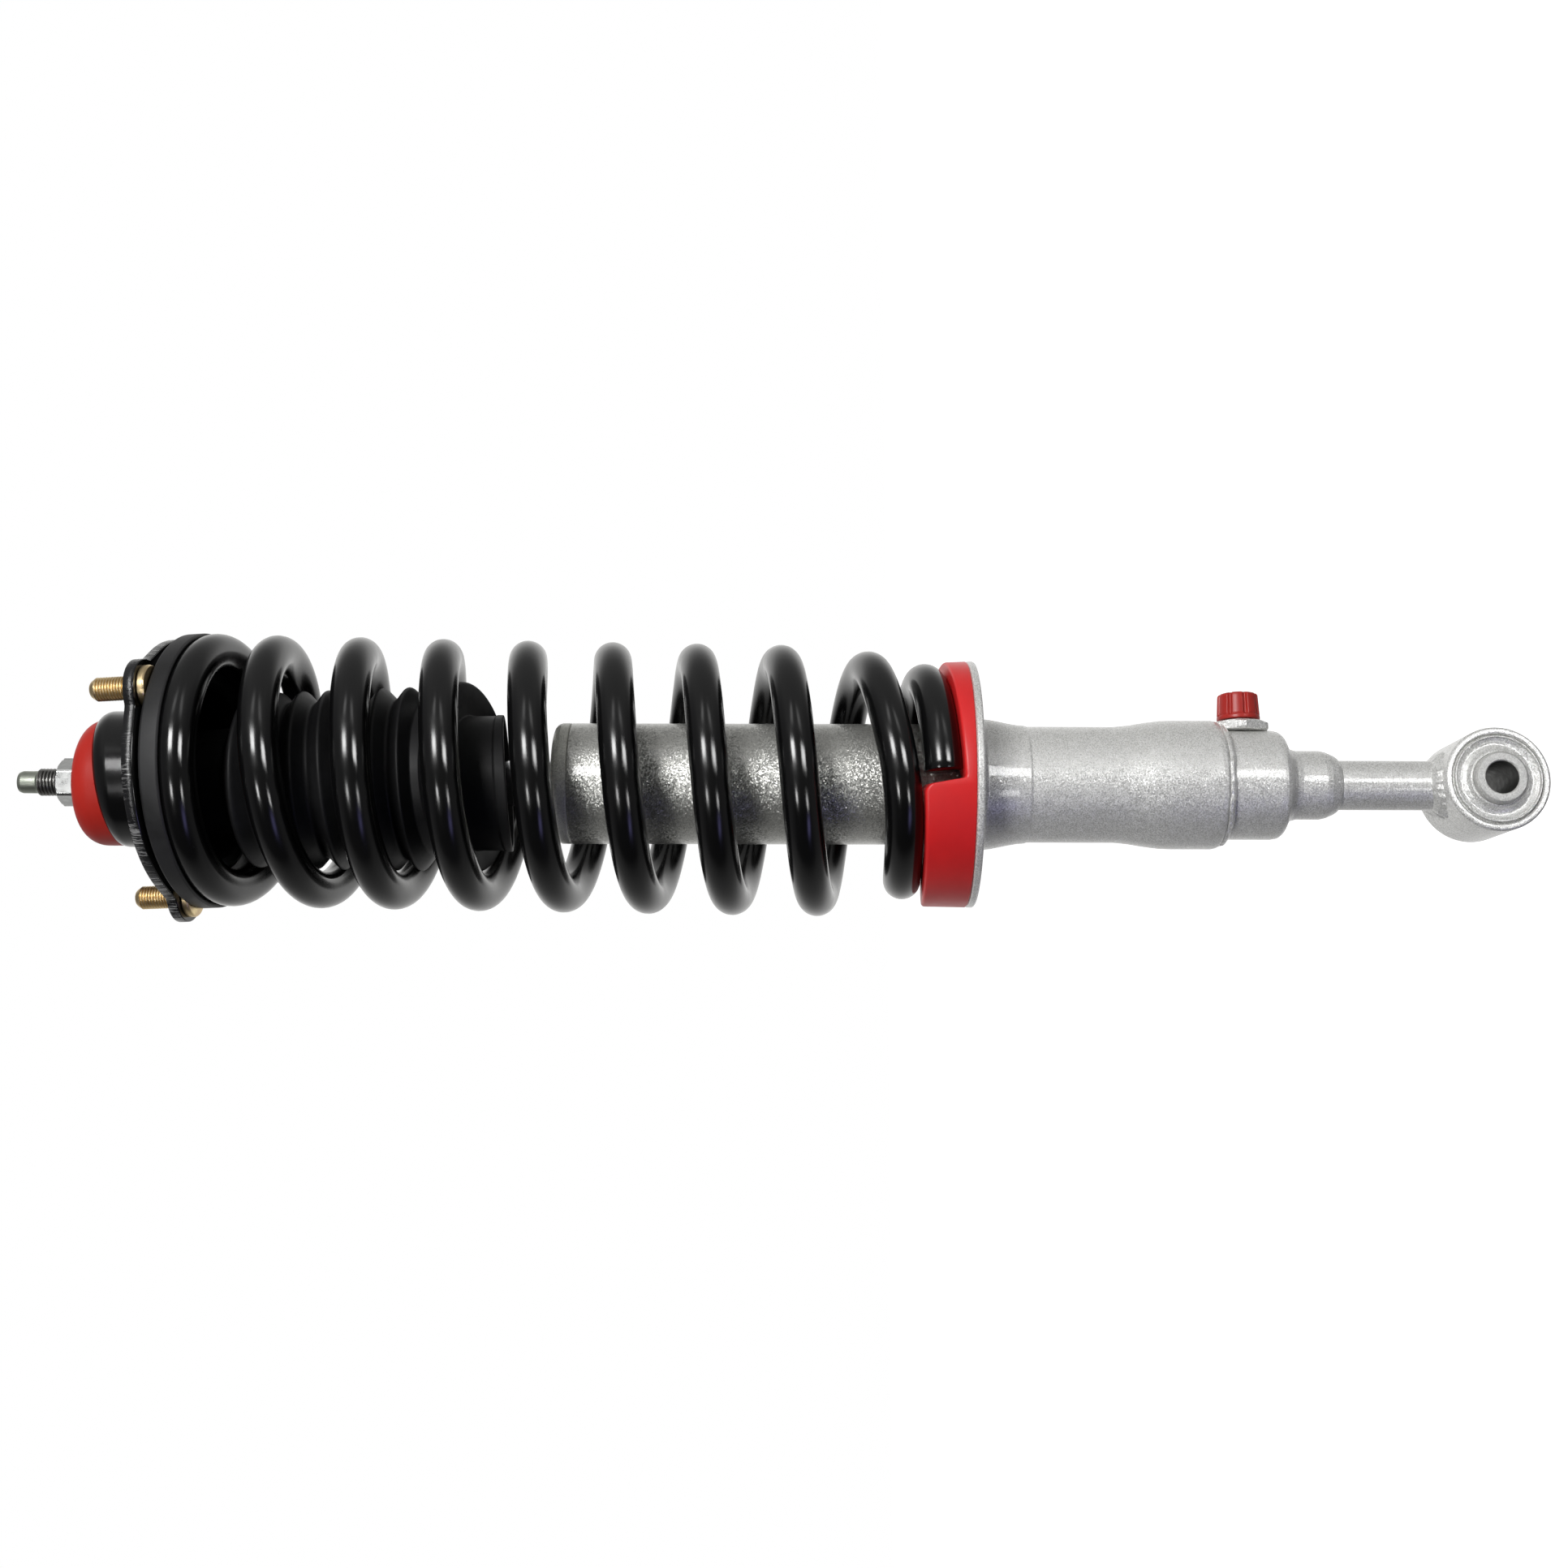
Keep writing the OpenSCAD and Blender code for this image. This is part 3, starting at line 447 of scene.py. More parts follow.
lathe("eye_bush_rubber", soft([(11.5, -19.6, 0.2), (12.4, -19.3, 0.8), (13.4, -17.6, 1.2), (15.2, -16.6, 2), (17.0, -17.0, 1), (18.2, -18.0, 0.3),
                               (18.2, 18.0, 0.3), (17.0, 17.0, 1), (15.2, 16.6, 2), (13.4, 17.6, 1.2), (12.4, 19.3, 0.8), (11.5, 19.6, 0.2)]),
      "damper", M_SILVER, ["bush_rubber"], place=ALONG_Y)
lathe("stem_rod", [(0, 16)] + [(10.95, 16), (10.95, 66), (0, 66)], "damper", M_SILVER, ["lower_stem"])


def stem_bead(x, y, z, a):
    # the bead follows the barrel's saddle: high over the barrel's length, low across it
    r = math.hypot(x, y)
    saddle = math.sqrt(max(0.0, 22.6 ** 2 - min(22.4, r * abs(math.cos(a))) ** 2))
    k = 0.35 * lump(a, 7, 3) + 0.18 * math.sin(a * 23)
    rr = r + (k if r > 11.2 else 0.0)
    return (rr * math.cos(a), rr * math.sin(a), z - 22.6 + saddle + (0.25 * k if r > 11.2 else 0.0))


lathe("stem_bead_weld", soft([(10.6, 21.6, 0), (14.6, 21.4, 0.4), (14.7, 22.9, 1.2), (13.0, 24.9, 1.6), (10.95, 26.2, 0.6), (10.6, 26.2, 0)]), "damper", M_SILVER, ["stem_weld"], warp=stem_bead)

# ---------------------------------------------------------------- damper base
HOUSING = soft([(0, 66, 0), (10.7, 66, 0), (10.95, 64.3, 0.2), (12.3, 65.4, 0.6), (13.3, 66.9, 1), (13.9, 68.4, 1.5), (14.6, 69.9, 2), (15.2, 72.6, 3),
                (15.2, 82.8, 3), (15.9, 85.6, 2), (17.1, 87.2, 1.2), (19.6, 88.5, 3), (22.4, 90.0, 2), (23.7, 91.7, 2), (24.1, 94.2, 2),
                (24.1, 115.2, 0.3), (26, 117.6, 0.2), (26, 127, 0.5), (3.4, 127, 0), (3.4, 110, 0), (0, 110, 0)])
housing = lathe("base_housing", HOUSING, "damper", M_SILVER, ["adjuster_housing"], n=256)


def base_bead(x, y, z, a):
    r = math.hypot(x, y)
    k = 0.28 * lump(a, 9, 1) + 0.12 * math.sin(a * 41 + 1.3)
    rr = r + (k if r > 24.6 else 0)
    return (rr * math.cos(a), rr * math.sin(a), z + (0.35 * k + 0.25 * lump(a, 5, 8) if r > 24.6 else 0))


bead = lathe("base_bead_weld", soft([(23.8, 114.7, 0.1), (24.9, 114.4, 0.4), (26.2, 114.9, 0.7), (27.1, 116.0, 0.8), (27.3, 117.3, 0.5), (26, 117.9, 0)]), "damper", M_SILVER, ["base_weld"], n=384, warp=base_bead)
tube = lathe("reservoir_tube_body", soft([(26, 117.6, 0.2), (27.2, 117.6, 0.5), (28.0, 118.7, 0.8), (28.4, 120.6, 1.5), (28.4, 138, 6), (28.2, 143.5, 8), (27.3, 150.5, 10), (26.2, 157, 8), (25.6, 163, 6), (25.6, 229.4, 1),
                                          (26.6, 232.6, 1), (26.6, 401.3, 0.25), (24.5, 401.3, 0), (24.5, 235, 1), (23.5, 231, 1), (23.5, 162, 3), (26, 148, 3)]),
             "damper", [M_SILVER, M_SILVER_PAINTED_COIL_SHADE], ["reservoir_tube"], n=256)
lathe("tube_cap_ring", soft([(11.2, 400, 0), (24.5, 400, 0), (24.5, 401.4, 0), (26.3, 401.4, 0.2), (26.6, 401.9, 0.3), (26.6, 405.4, 1), (26.0, 407.0, 1), (24.9, 408.0, 0.8), (23.4, 408.5, 0.5), (14, 408.5, 0.4), (11.2, 406.8, 0.4)]),
      "damper", M_SILVER_CAP, ["tube_cap"], n=256)
lathe("spring_seat_cup", soft([(25.6, 201.5, 0), (26.0, 202.5, 0.5), (26.3, 206, 3), (27.0, 210, 4), (28.5, 217.4, 4), (28.9, 221.2, 3), (31.6, 225.1, 4), (53.6, 225.1, 0.5), (54.2, 225.9, 0.5), (54.2, 227.8, 0.6), (53.4, 228.6, 0.5), (25.6, 228.6, 0)]),
      "damper", M_SILVER, ["spring_seat"], n=256)


def cut(obj, radius, place, length=60.0, n=128):
    """Cuts a cylinder out of a piece, for good."""
    v, f = lathe_geo([(0, 0), (radius, 0), (radius, length), (0, length)], n)
    me = bpy.data.meshes.new("cutter")
    me.from_pydata([tuple((place @ Vector(p)) * MM) for p in v], [], f)
    bm = bmesh.new()
    bm.from_mesh(me)
    bmesh.ops.recalc_face_normals(bm, faces=bm.faces)
    bm.to_mesh(me)
    bm.free()
    c = bpy.data.objects.new("cutter", me)
    scene.collection.objects.link(c)
    mod = obj.modifiers.new("cut", "BOOLEAN")
    mod.operation, mod.object, mod.solver = "DIFFERENCE", c, "EXACT"
    bpy.context.view_layer.update()
    dg = bpy.context.evaluated_depsgraph_get()
    new = bpy.data.meshes.new_from_object(obj.evaluated_get(dg))
    obj.modifiers.clear()
    obj.data = new
    bpy.data.objects.remove(c)
    bpy.data.meshes.remove(me)
    new.shade_smooth()
    new.set_sharp_from_angle(angle=math.radians(35))


SPOT = TO_X @ Matrix.Translation((0, 0, 23.4))
for o in (housing, bead, tube):
    cut(o, 14.8, SPOT)
# faces above the spring seat take the darker copy: painted shade where the coil encloses the tube
for f in tube.data.polygons:
    f.material_index = 1 if f.center.z > 0.2286 else 0

# ---------------------------------------------------------------- adjuster
AF = 24.0


def hexagon(name, across, z0, z1, turn, body, mats, nodes, place=None, chamfer=0.9, both=True, bore=0.0, rings=96, edge=0.35):
    """A hexagon with rounded corners and turned chamfers on its faces."""
    n = rings

    def reach(a):
        k = (a - turn) % (math.pi / 3) - math.pi / 6
        flat = across / 2 / math.cos(k)
        return min(flat, across / math.sqrt(3) - edge)
    cone = across / 2 * 0.97
    prof = []
    top = across / math.sqrt(3) - edge
    levels = [z0] + ([z0 + 0.35, z0 + 0.8, z0 + chamfer] if both else [z0 + 0.01]) + [z1 - chamfer, z1 - 0.8, z1 - 0.35, z1]
    verts, loops = [], []

    def add(fn, z):
        loops.append(list(range(len(verts), len(verts) + n)))
        for i in range(n):
            a = 2 * math.pi * i / n
            r = fn(a)
            verts.append((r * math.cos(a), r * math.sin(a), z))
    add(lambda a: bore or 0.01, z0)
    for z in levels:
        d = min(z1 - z, (z - z0) if both else 99)
        add(lambda a: min(reach(a), cone + d * 1.75), z)
    add(lambda a: bore or 0.01, z1)
    faces = []
    for x, y in zip(loops, loops[1:] + loops[:1]):
        for i in range(n):
            k = (i + 1) % n
            faces.append((x[i], y[i], y[k], x[k]))
    return build(name, verts, faces, body, mats, nodes, place=place, sharp=24.0)


hexagon("adjuster_hexagon", AF, 23.4, 27.6, math.radians(-35), "damper", M_SILVER, ["adjuster_fitting"], place=TO_X, bore=4.05, rings=360)
lathe("adjuster_boss", soft([(4.05, 27.4, 0), (8.4, 27.4, 0), (8.4, 28.5, 0.3), (4.05, 28.5, 0)]), "damper", M_SILVER, place=TO_X, n=96)


def knob():
    """Eight broad ribs with narrow grooves between them, tapering to a slightly domed face."""
    n, top = 384, 40.8
    rows = [(4.05, 28.9, 0, 0), (9.0, 28.9, 0, 0), (9.35, 29.2, 0, 0), (9.4, 29.8, 0, 0), (9.4, 30.4, 0, 0), (9.1, 30.9, 0.2, 0)]
    for i in range(13):
        f = i / 12
        rows.append((9.3 - 0.5 * f, 31.2 + 8.4 * f, 1, 0))
    rows += [(8.7, 40.1, 0.9, 0), (8.35, 40.5, 0.8, 0), (7.7, 40.72, 0.55, 0), (6.6, 40.8, 0.25, 0), (5.2, 40.75, 0, 0), (3.9, 40.7, 0, 0), (3.6, 40.5, 0, 0), (3.5, 39.3, 0, 0), (0, 39.3, 0, 0)]
    verts, rings = [], []
    for r, z, k, _ in rows:
        if r < 1e-6:
            rings.append([len(verts)])
            verts.append((0, 0, z))
            continue
        rings.append(list(range(len(verts), len(verts) + n)))
        for i in range(n):
            a = 2 * math.pi * i / n
            s = abs(((a * 8 / (2 * math.pi)) % 1.0) - 0.5) * 2          # 1 in the middle of a groove
            groove = smoothstep((s - 0.62) / 0.30)
            rr = r - k * (1.25 * groove + 0.10 * (s ** 2))
            verts.append((rr * math.cos(a), rr * math.sin(a), z))
    faces = []
    for a, b in zip(rings, rings[1:]):
        for i in range(n):
            j = (i + 1) % n
            faces.append((a[i], a[j], b[0]) if len(b) == 1 else (a[i], a[j], b[j], b[i]))
    # the underside closes on the axis
    faces.append(tuple(rings[0]))
    return build("adjuster_knob_cap", verts, faces, "adjuster", M_KNOB, ["adjuster_knob"], place=TO_X @ Matrix.Rotation(math.radians(8), 4, "Z"), sharp=40.0)


knob()

# ---------------------------------------------------------------- coil spring
WIRE, COIL_R, COIL_END, GROOVE = 8.15, 51.4, 43.7, -19.0


def knee(x, w):
    return 0.0 if x < -w else x if x > w else (x + w) ** 2 / (4 * w)


def coil_z(t):
    return (241.7 + 0.052 * (t - 6) + 0.073 * knee(t - 370, 40) - 0.0225 * knee(t - 600, 60)
            - 0.0131 * knee(t - 2520, 60) + 0.0131 * knee(t - 2890, 60) - 0.9 * math.sin(math.radians(t)) * smoothstep((t - 500) / 300)
            + 0.8 * smoothstep((t - 6) / 90) * (1 - smoothstep((t - 500) / 250))
            - (1.1 * (1 + math.cos(math.pi * (t - 350) / 70)) if abs(t - 350) < 70 else 0.0))


def coil_at(t):
    r = COIL_END + (COIL_R - COIL_END) * smoothstep((t - 290) / 250)
    k = min(1.0, max(0.0, (coil_z(t) - 245) / 310))
    s = smoothstep((t - 3010) / 230)
    a = math.radians(t)
    c, u = r * math.cos(a), r * math.sin(a)
    z = coil_z(t) + smoothstep((t - 2500) / 500) * (0.1 * c + 0.05 * u)
    free = C * (c + 0.3 + 5.4 * k * k) + U * (u + 1.2 + 4.3 * k ** 1.4) + Z * z
    b = a + SIDE - math.pi / 2
    held = MOUNT @ Vector((COIL_R * math.cos(b), COIL_R * math.sin(b), GROOVE))
    return free * (1 - s) + held * s


def sweep(name, pts, radius, sides, body, mats, nodes, end=0.5):
    """A round bar along a line, its ends cut flat with a small break."""
    n = len(pts)
    tang = [(pts[min(n - 1, i + 1)] - pts[max(0, i - 1)]).normalized() for i in range(n)]
    rows = [(0, -0.0, 0.0), (0, 0.0, radius - end), (0, end * 0.35, radius - end * 0.35), (0, end, radius)]
    spec = [(pts[0] + tang[0] * d, tang[0], r) for _, d, r in rows]
    spec += [(pts[i], tang[i], radius) for i in range(1, n - 1)]
    spec += [(pts[-1] - tang[-1] * d, tang[-1], r) for _, d, r in reversed(rows)]
    verts, rings = [], []
    for p, t, r in spec:
        side = t.cross(Z).normalized()
        upv = side.cross(t)
        if r < 1e-6:
            rings.append([len(verts)])
            verts.append(tuple(p))
            continue
        rings.append(list(range(len(verts), len(verts) + sides)))
        for k in range(sides):
            a = 2 * math.pi * k / sides
            verts.append(tuple(p + side * (r * math.cos(a)) + upv * (r * math.sin(a))))
    faces = []
    for a, b in zip(rings, rings[1:]):
        for k in range(sides):
            j = (k + 1) % sides
            if len(a) == 1:
                faces.append((a[0], b[j], b[k]))
            elif len(b) == 1:
                faces.append((a[k], a[j], b[0]))
            else:
                faces.append((a[k], a[j], b[j], b[k]))
    return build(name, verts, faces, body, mats, nodes, sharp=40.0)


STEPS = 760
coil = sweep("coil_spring_wire", [coil_at(6 + 3456 * i / STEPS) for i in range(STEPS + 1)], WIRE, 48, "damper", M_COIL, ["coil_spring"])
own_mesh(coil)

# ---------------------------------------------------------------- lower isolator


def isolator():
    """A closed ring whose top climbs once round under the wire, then steps down; every edge rounded."""
    r_in, r_out, z0 = 31.0, 54.1, 228.6
    a0 = SIDE - math.pi / 2 + math.radians(3)
    turns = [0.0, 0.3, 0.6, 0.95, 1.3, 1.7, 2.2] + [2.2 + 349.8 * i / 200 for i in range(1, 201)] + [352.4 + 0.35 * i for i in range(17)]
    verts, rings = [], []
    for f in turns:
        top = 233.3 + 0.0514 * f + 0.7 * smoothstep((f - 3) / 90) - 2.2 * smoothstep((f - 266) / 92)
        near, past = (358.0 - f) * 0.94, f * 0.94
        if near < 5:
            top += math.sqrt(max(0.0, 25 - (5 - near) ** 2)) - 5
        if past < 1.6:
            top += 1.6 - math.sqrt(max(0.0, 2.56 - (1.6 - past) ** 2))
        prof = soft([(r_in, z0, 0.4), (r_out, z0, 0.6), (r_out, top, 1.6), (r_in, top, 1.6)], k=5)
        a = a0 + math.radians(f)
        rings.append(list(range(len(verts), len(verts) + len(prof))))
        for r, z in prof:
            rr = r - (0.3 * smoothstep((z - z0) / max(1.0, top - z0)) if r > 50 else 0)
            verts.append((rr * math.cos(a), rr * math.sin(a), z))
    m = len(rings[0])
    faces = [(x[k], x[(k + 1) % m], y[(k + 1) % m], y[k]) for x, y in zip(rings, rings[1:] + rings[:1]) for k in range(m)]
    return build("lower_isolator_ramp", verts, faces, "damper", M_RED_LOW, ["lower_spring_isolator"], sharp=40.0)


isolator()

# ---------------------------------------------------------------- rod
lathe("chrome_rod", soft([(0, 348, 0), (5, 348, 0.3), (5, 373, 0), (9.6, 373, 0.2), (10, 373.5, 0.2), (10, 565.4, 0.3), (9.4, 566, 0), (0, 566, 0)]), "top", M_CHROME, ["piston_rod"], n=128)
threaded("rod_end_thread", 6.0, 1.5, 612.0, 635.6, [(0, 566), (6, 566), (6, 611.9)], soft([(5.6, 636.2, 0.2), (5.05, 636.6, 0.1), (4.95, 636.9, 0.2), (4.9, 643.4, 1.0), (4.4, 644.9, 0.8), (3.0, 645.5, 0.5), (0, 645.5, 0)], closed=False),
         "top", [M_THREAD, M_TIP], n=96, mat_split=[636.1])

# ---------------------------------------------------------------- dust boot


def table(rows, z):
    """Straight lines between the given places."""
    if z <= rows[0][0]:
        return rows[0][1]
    for (a, x), (b, y) in zip(rows, rows[1:]):
        if z <= b:
            return x + (y - x) * (z - a) / (b - a)
    return rows[-1][1]


def bellows():
    pitch, first, top = 11.6, 469.7, 565.9
    last = first + 6 * pitch
    crest = [40.0 - 0.34 * i for i in range(7)]
    outer = [(28.2, 429.6, 0.5), (30.15, 429.6, 0.8), (30.15, 432.4, 0.8), (29.65, 433.0, 0.5), (29.65, 444.5, 0.9), (42.2, 445.2, 1.3), (41.4, 448.2, 1.6), (34.0, 456.8, 2.4), (33.6, 463.6, 1.8)]
    for i, r in enumerate(crest):
        z = first + i * pitch
        outer.append((r + 1.25, z, 1.9))
        if i < 6:
            outer.append((r - 5.5, z + pitch / 2, 1.8))
    outer += [(23.2, last + 7.4, 3.0), (23.0, last + 12, 3.0), (23.0, top, 1.6), (10.05, top, 0.2)]
    inner = [(10.05, top - 2.2, 0.2), (21.3, top - 2.2, 1.0), (21.3, last + 8.6, 1.5)]
    for i in range(6, -1, -1):
        inner.append((crest[i] - 1.4, first + i * pitch, 1.2))
        inner.append((crest[i] - 6.8 if i else 32.2, first + (i - 0.5) * pitch, 1.2))
    inner += [(32.3, 457.2, 1.0), (39.6, 447.6, 0.8), (38.8, 446.6, 0.4), (31.4, 446.1, 0.3), (28.2, 444.4, 0.2)]
    du = [(444.8, 0), (445.0, 2.75), (469.7, 1.8), (505.7, 1.25), (539.4, 0.8), (559, 0.8), (563.2, 0)]
    dc = [(444.8, 0), (445.0, 2), (469.7, 2), (505.7, 2.5), (539.4, 3), (559, 3), (563.2, 0)]
    su = [(469.7, 0.07), (505.7, 0.09), (539.4, 0.04), (559, 0.04), (563.2, 0)]
    sc = [(430, -0.11), (444.5, 0.25), (449, 0.25), (469.7, 0), (505.7, -0.046), (539.4, 0.05), (559, 0.06), (563.2, 0)]

    def lean(x, y, z, a):
        off = U * table(du, z) + C * table(dc, z)
        slope = U * table(su, z) + C * table(sc, z)
        return (x + off.x, y + off.y, z + slope.x * x + slope.y * y)
    return lathe("bellows_boot", soft(outer + inner, k=6), "top", M_BOOT, ["dust_boot"], n=224, warp=lean, sharp=60.0)


bellows()

# ---------------------------------------------------------------- top mount
STUD_R = 54.75
STUDS = [math.radians(-60 + 120 * k) for k in range(3)]


def plate_edge(a):
    """The plate's outline: a disc and three ears with easy fillets."""
    best = 58.0
    for s in STUDS:
        d = (a - s + math.pi) % (2 * math.pi) - math.pi
        if abs(d) < math.radians(40):
            # the ear's own circle
            mid, big = STUD_R - 2.2, 13.4
            h = mid * math.sin(abs(d))
            if h < big:
                best = max(best, mid * math.cos(d) + math.sqrt(big ** 2 - h ** 2))
            # a straight flank, tangent to the ear and running down onto the disc
            px, py = STUD_R + 3.1, 12.3
            qx, qy = 58 * math.cos(math.radians(24)), 58 * math.sin(math.radians(24))
            ex, ey = qx - px, qy - py
            ca, sa = math.cos(abs(d)), math.sin(abs(d))
            den = ca * ey - sa * ex
            if abs(den) > 1e-9:
                t = (px * ey - py * ex) / den
                u = (px * sa - py * ca) / den if abs(den) > 1e-9 else -1
                if 0 <= u <= 1:
                    best = max(best, t)
    return best


UP, FOOT = 1.4, -3.2          # the plate's two faces in the mount's frame
DOME_X, DOME_Y, DOME_R = 1.2, -1.4, 29.9      # the dome stands parallel to the rod


def dome_top(x, y, shoulder=8.0, drop=0.0):
    """Height of the dome's sloping top over a point, with its round shoulder."""
    q = math.hypot(x - DOME_X, y - DOME_Y) - (DOME_R - 8.0)
    fall = 0.0 if q <= 0 else shoulder - math.sqrt(max(0.0, shoulder ** 2 - min(q, shoulder) ** 2))
    return 606.3 + 0.153 * (x * math.cos(math.radians(30)) + y * math.sin(math.radians(30))) - drop - fall


def plate_height(x, y, w):
    """Height of the plate's level w over a point of the part's frame."""
    at = MOUNT @ Vector((0, 0, w))
    up_ = MOUNT.to_3x3() @ Vector((0, 0, 1))
    return at.z - (up_.x * (x - at.x) + up_.y * (y - at.y)) / up_.z


def mount_plate():
    n = 720
    edge = [plate_edge(2 * math.pi * i / n) for i in range(n)]
    for _ in range(4):
        edge = [(edge[i - 1] + 2 * edge[i] + edge[(i + 1) % n]) / 4 for i in range(n)]

    def dome(r, height):
        row = []
        for i in range(n):
            a = 2 * math.pi * i / n
            x, y = DOME_X + r * math.cos(a), DOME_Y + r * math.sin(a)
            row.append(Vector((x, y, height(x, y))))
        return row

    def rim(inset, w):
        return [MOUNT @ Vector(((e - inset) * math.cos(2 * math.pi * i / n), (e - inset) * math.sin(2 * math.pi * i / n), w)) for i, e in enumerate(edge)]
    rows, mark = [], []

    def add(row, m=0):
        rows.append(row)
        mark.append(m)
    add(dome(15.0, lambda x, y: dome_top(x, y, 5.0, 3.0) + 0.4))
    add(dome(15.0, lambda x, y: dome_top(x, y) - 0.5))
    add(dome(15.5, dome_top))
    for q in range(0, 91, 6):
        add(dome(DOME_R - 8 + 8 * math.sin(math.radians(q)), dome_top))
    for q in range(0, 91, 10):
        f = math.radians(q)
        add(dome(DOME_R + 3.2 * (1 - math.cos(f)), lambda x, y, f=f: plate_height(x, y, UP + 3.2 * (1 - math.sin(f)))))
    foot, lip = rows[-1], rim(0.5, UP)
    for f in (0.25, 0.5, 0.75, 0.9):
        add([p.lerp(q, f) for p, q in zip(foot, lip)])
    add(lip)
    add(rim(0.15, UP - 0.12), 1)
    add(rim(0.0, UP - 0.45), 1)
    add(rim(-0.04, UP - 2.2), 1)
    add(rim(0.0, FOOT + 0.4), 1)
    add(rim(0.3, FOOT))
    low = dome(DOME_R - 1.2, lambda x, y: plate_height(x, y, FOOT))
    add([p.lerp(q, 0.5) for p, q in zip(rows[-1], low)])
    add(low)
    add(dome(DOME_R - 2.2, lambda x, y: plate_height(x, y, FOOT + 0.4)))
    add(dome(DOME_R - 2.9, lambda x, y: plate_height(x, y, FOOT + 1.4)))
    add(dome(DOME_R - 3.0, lambda x, y: plate_height(x, y, FOOT + 3.0)))
    for q in range(90, -1, -15):
        add(dome(DOME_R - 8 + 5 * math.sin(math.radians(q)), lambda x, y: dome_top(x, y, 5.0, 3.0)))
    add(dome(15.5, lambda x, y: dome_top(x, y, 5.0, 3.0)))
    verts = [p for row in rows for p in row]
    faces, ids = [], []
    for j in range(len(rows)):
        x, y = j * n, (j + 1) % len(rows) * n
        m = mark[j] and mark[(j + 1) % len(rows)]
        for i in range(n):
            k = (i + 1) % n
            faces.append((x + i, y + i, y + k, x + k))
            ids.append(1 if m else 0)
    return build("mount_plate_dome", verts, faces, "top", [M_PLATE, M_EDGE], ["mount_plate"], mat_ids=ids, sharp=38.0)


mount_plate()
for i, a in enumerate(STUDS):
    at = MOUNT @ Matrix.Translation((STUD_R * math.cos(a), STUD_R * math.sin(a), UP)) @ Matrix.Rotation(a * 3 + i, 4, "Z")
    top_end = [(4.85, 16.0), (4.6, 16.5), (4.2, 17.2), (3.7, 17.9), (3.2, 18.35), (2.6, 18.58), (2.0, 18.6), (0, 18.5)]
    o = threaded(f"mount_stud_{i + 1}", 5.0, 1.25, 0.2, 15.9, [(0, -4.6), (5.4, -4.6), (5.4, -0.3), (5.0, 0.0), (5.0, 0.19)], top_end, "top", M_YELLOW, ["mount_studs"], n=96, place=at, fade=0.5)
    head = soft([(0, -8.0, 0), (8.7, -8.0, 0.7), (9.2, -7.2, 0.7), (9.2, -5.2, 0.6), (8.9, -4.62, 0.3), (0, -4.62, 0)])
    lathe(f"mount_stud_head_{i + 1}", head, "top", M_HEAD, n=96, place=at)

ring = lathe("upper_insulator_ring", soft([(37, FOOT - 0.05, 0.4), (52, FOOT - 0.05, 0.4), (53.5, FOOT - 1.0, 0.5), (54.5, -6.0, 0.5), (58.8, -6.3, 0.8), (60, -7.4, 1.0), (60, -14.0, 0.8), (59.5, -14.8, 0.3)] + [
    (COIL_R + 8.45 * math.cos(math.radians(q)), GROOVE + 8.45 * math.sin(math.radians(q)), 0) for q in range(30, 151, 4)] + [(42.4, -14.8, 0.3), (38.6, -14, 0.5), (37, -12.4, 0.5)], k=3),
    "top", M_INSULATOR, ["spring_insulator"], n=256, place=MOUNT)
for a in STUDS:
    cut(ring, 9.6, MOUNT @ Matrix.Translation((STUD_R * math.cos(a), STUD_R * math.sin(a), -7.0)), 20.0)

def bush_foot(x, y, z, a):
    """The bushing's foot lies on the sloping dome and runs down over its shoulder."""
    if math.hypot(x, y) < 15.2:
        return (x, y, z)
    rest = dome_top(x, y) + 0.04
    return (x, y, rest if z < 600 else max(z, rest))


lathe("upper_bushing", soft([(9, 603.2, 0), (9, 613, 0.3), (18.2, 613, 0.3)], closed=False) + arc(19.5, 605, 8.4, 9.6, 97, 0, 16) + [
    (27.9, 602.0), (27.85, 599.0), (27.6, 598.4), (27.0, 598.4), (26.0, 598.4), (24.6, 598.4), (22.5, 598.4), (19.2, 598.4), (15.3, 598.4), (14.8, 603.2)],
    "top", M_RED, ["upper_mount_bushing"], n=224, warp=bush_foot)
lathe("upper_cup_washer", soft([(6.02, 613, 0.2), (18, 613, 0.4), (18, 616, 0.8), (6.02, 616, 0.2)]), "top", M_ZINC, ["upper_washer"], n=128)
hexagon("rod_end_nut", 19.0, 616.0, 626.2, SIDE + math.radians(0), "top", M_ZINC, ["rod_nut"], chamfer=0.95, bore=5.4, rings=360)

# ---------------------------------------------------------------- hidden pieces keep their CAD shape
for names, mat in (
        (("adjuster_seal", "rod_seal", "rebound_stop"), M_RUBBER),
        (("rod_guide", "foot_valve", "piston"), M_SINTER),
        (("pressure_tube", "piston_shims", "piston_nut", "lower_washer", "spacer_sleeve", "knob_screw", "adjuster_spindle"), M_STEEL),
        (("piston_band",), M_BAND), (("bump_stop",), M_FOAM), (("lower_mount_bushing",), M_RED)):
    for nm in names:
        NODES[nm].data.materials.clear()
        NODES[nm].data.materials.append(mat)

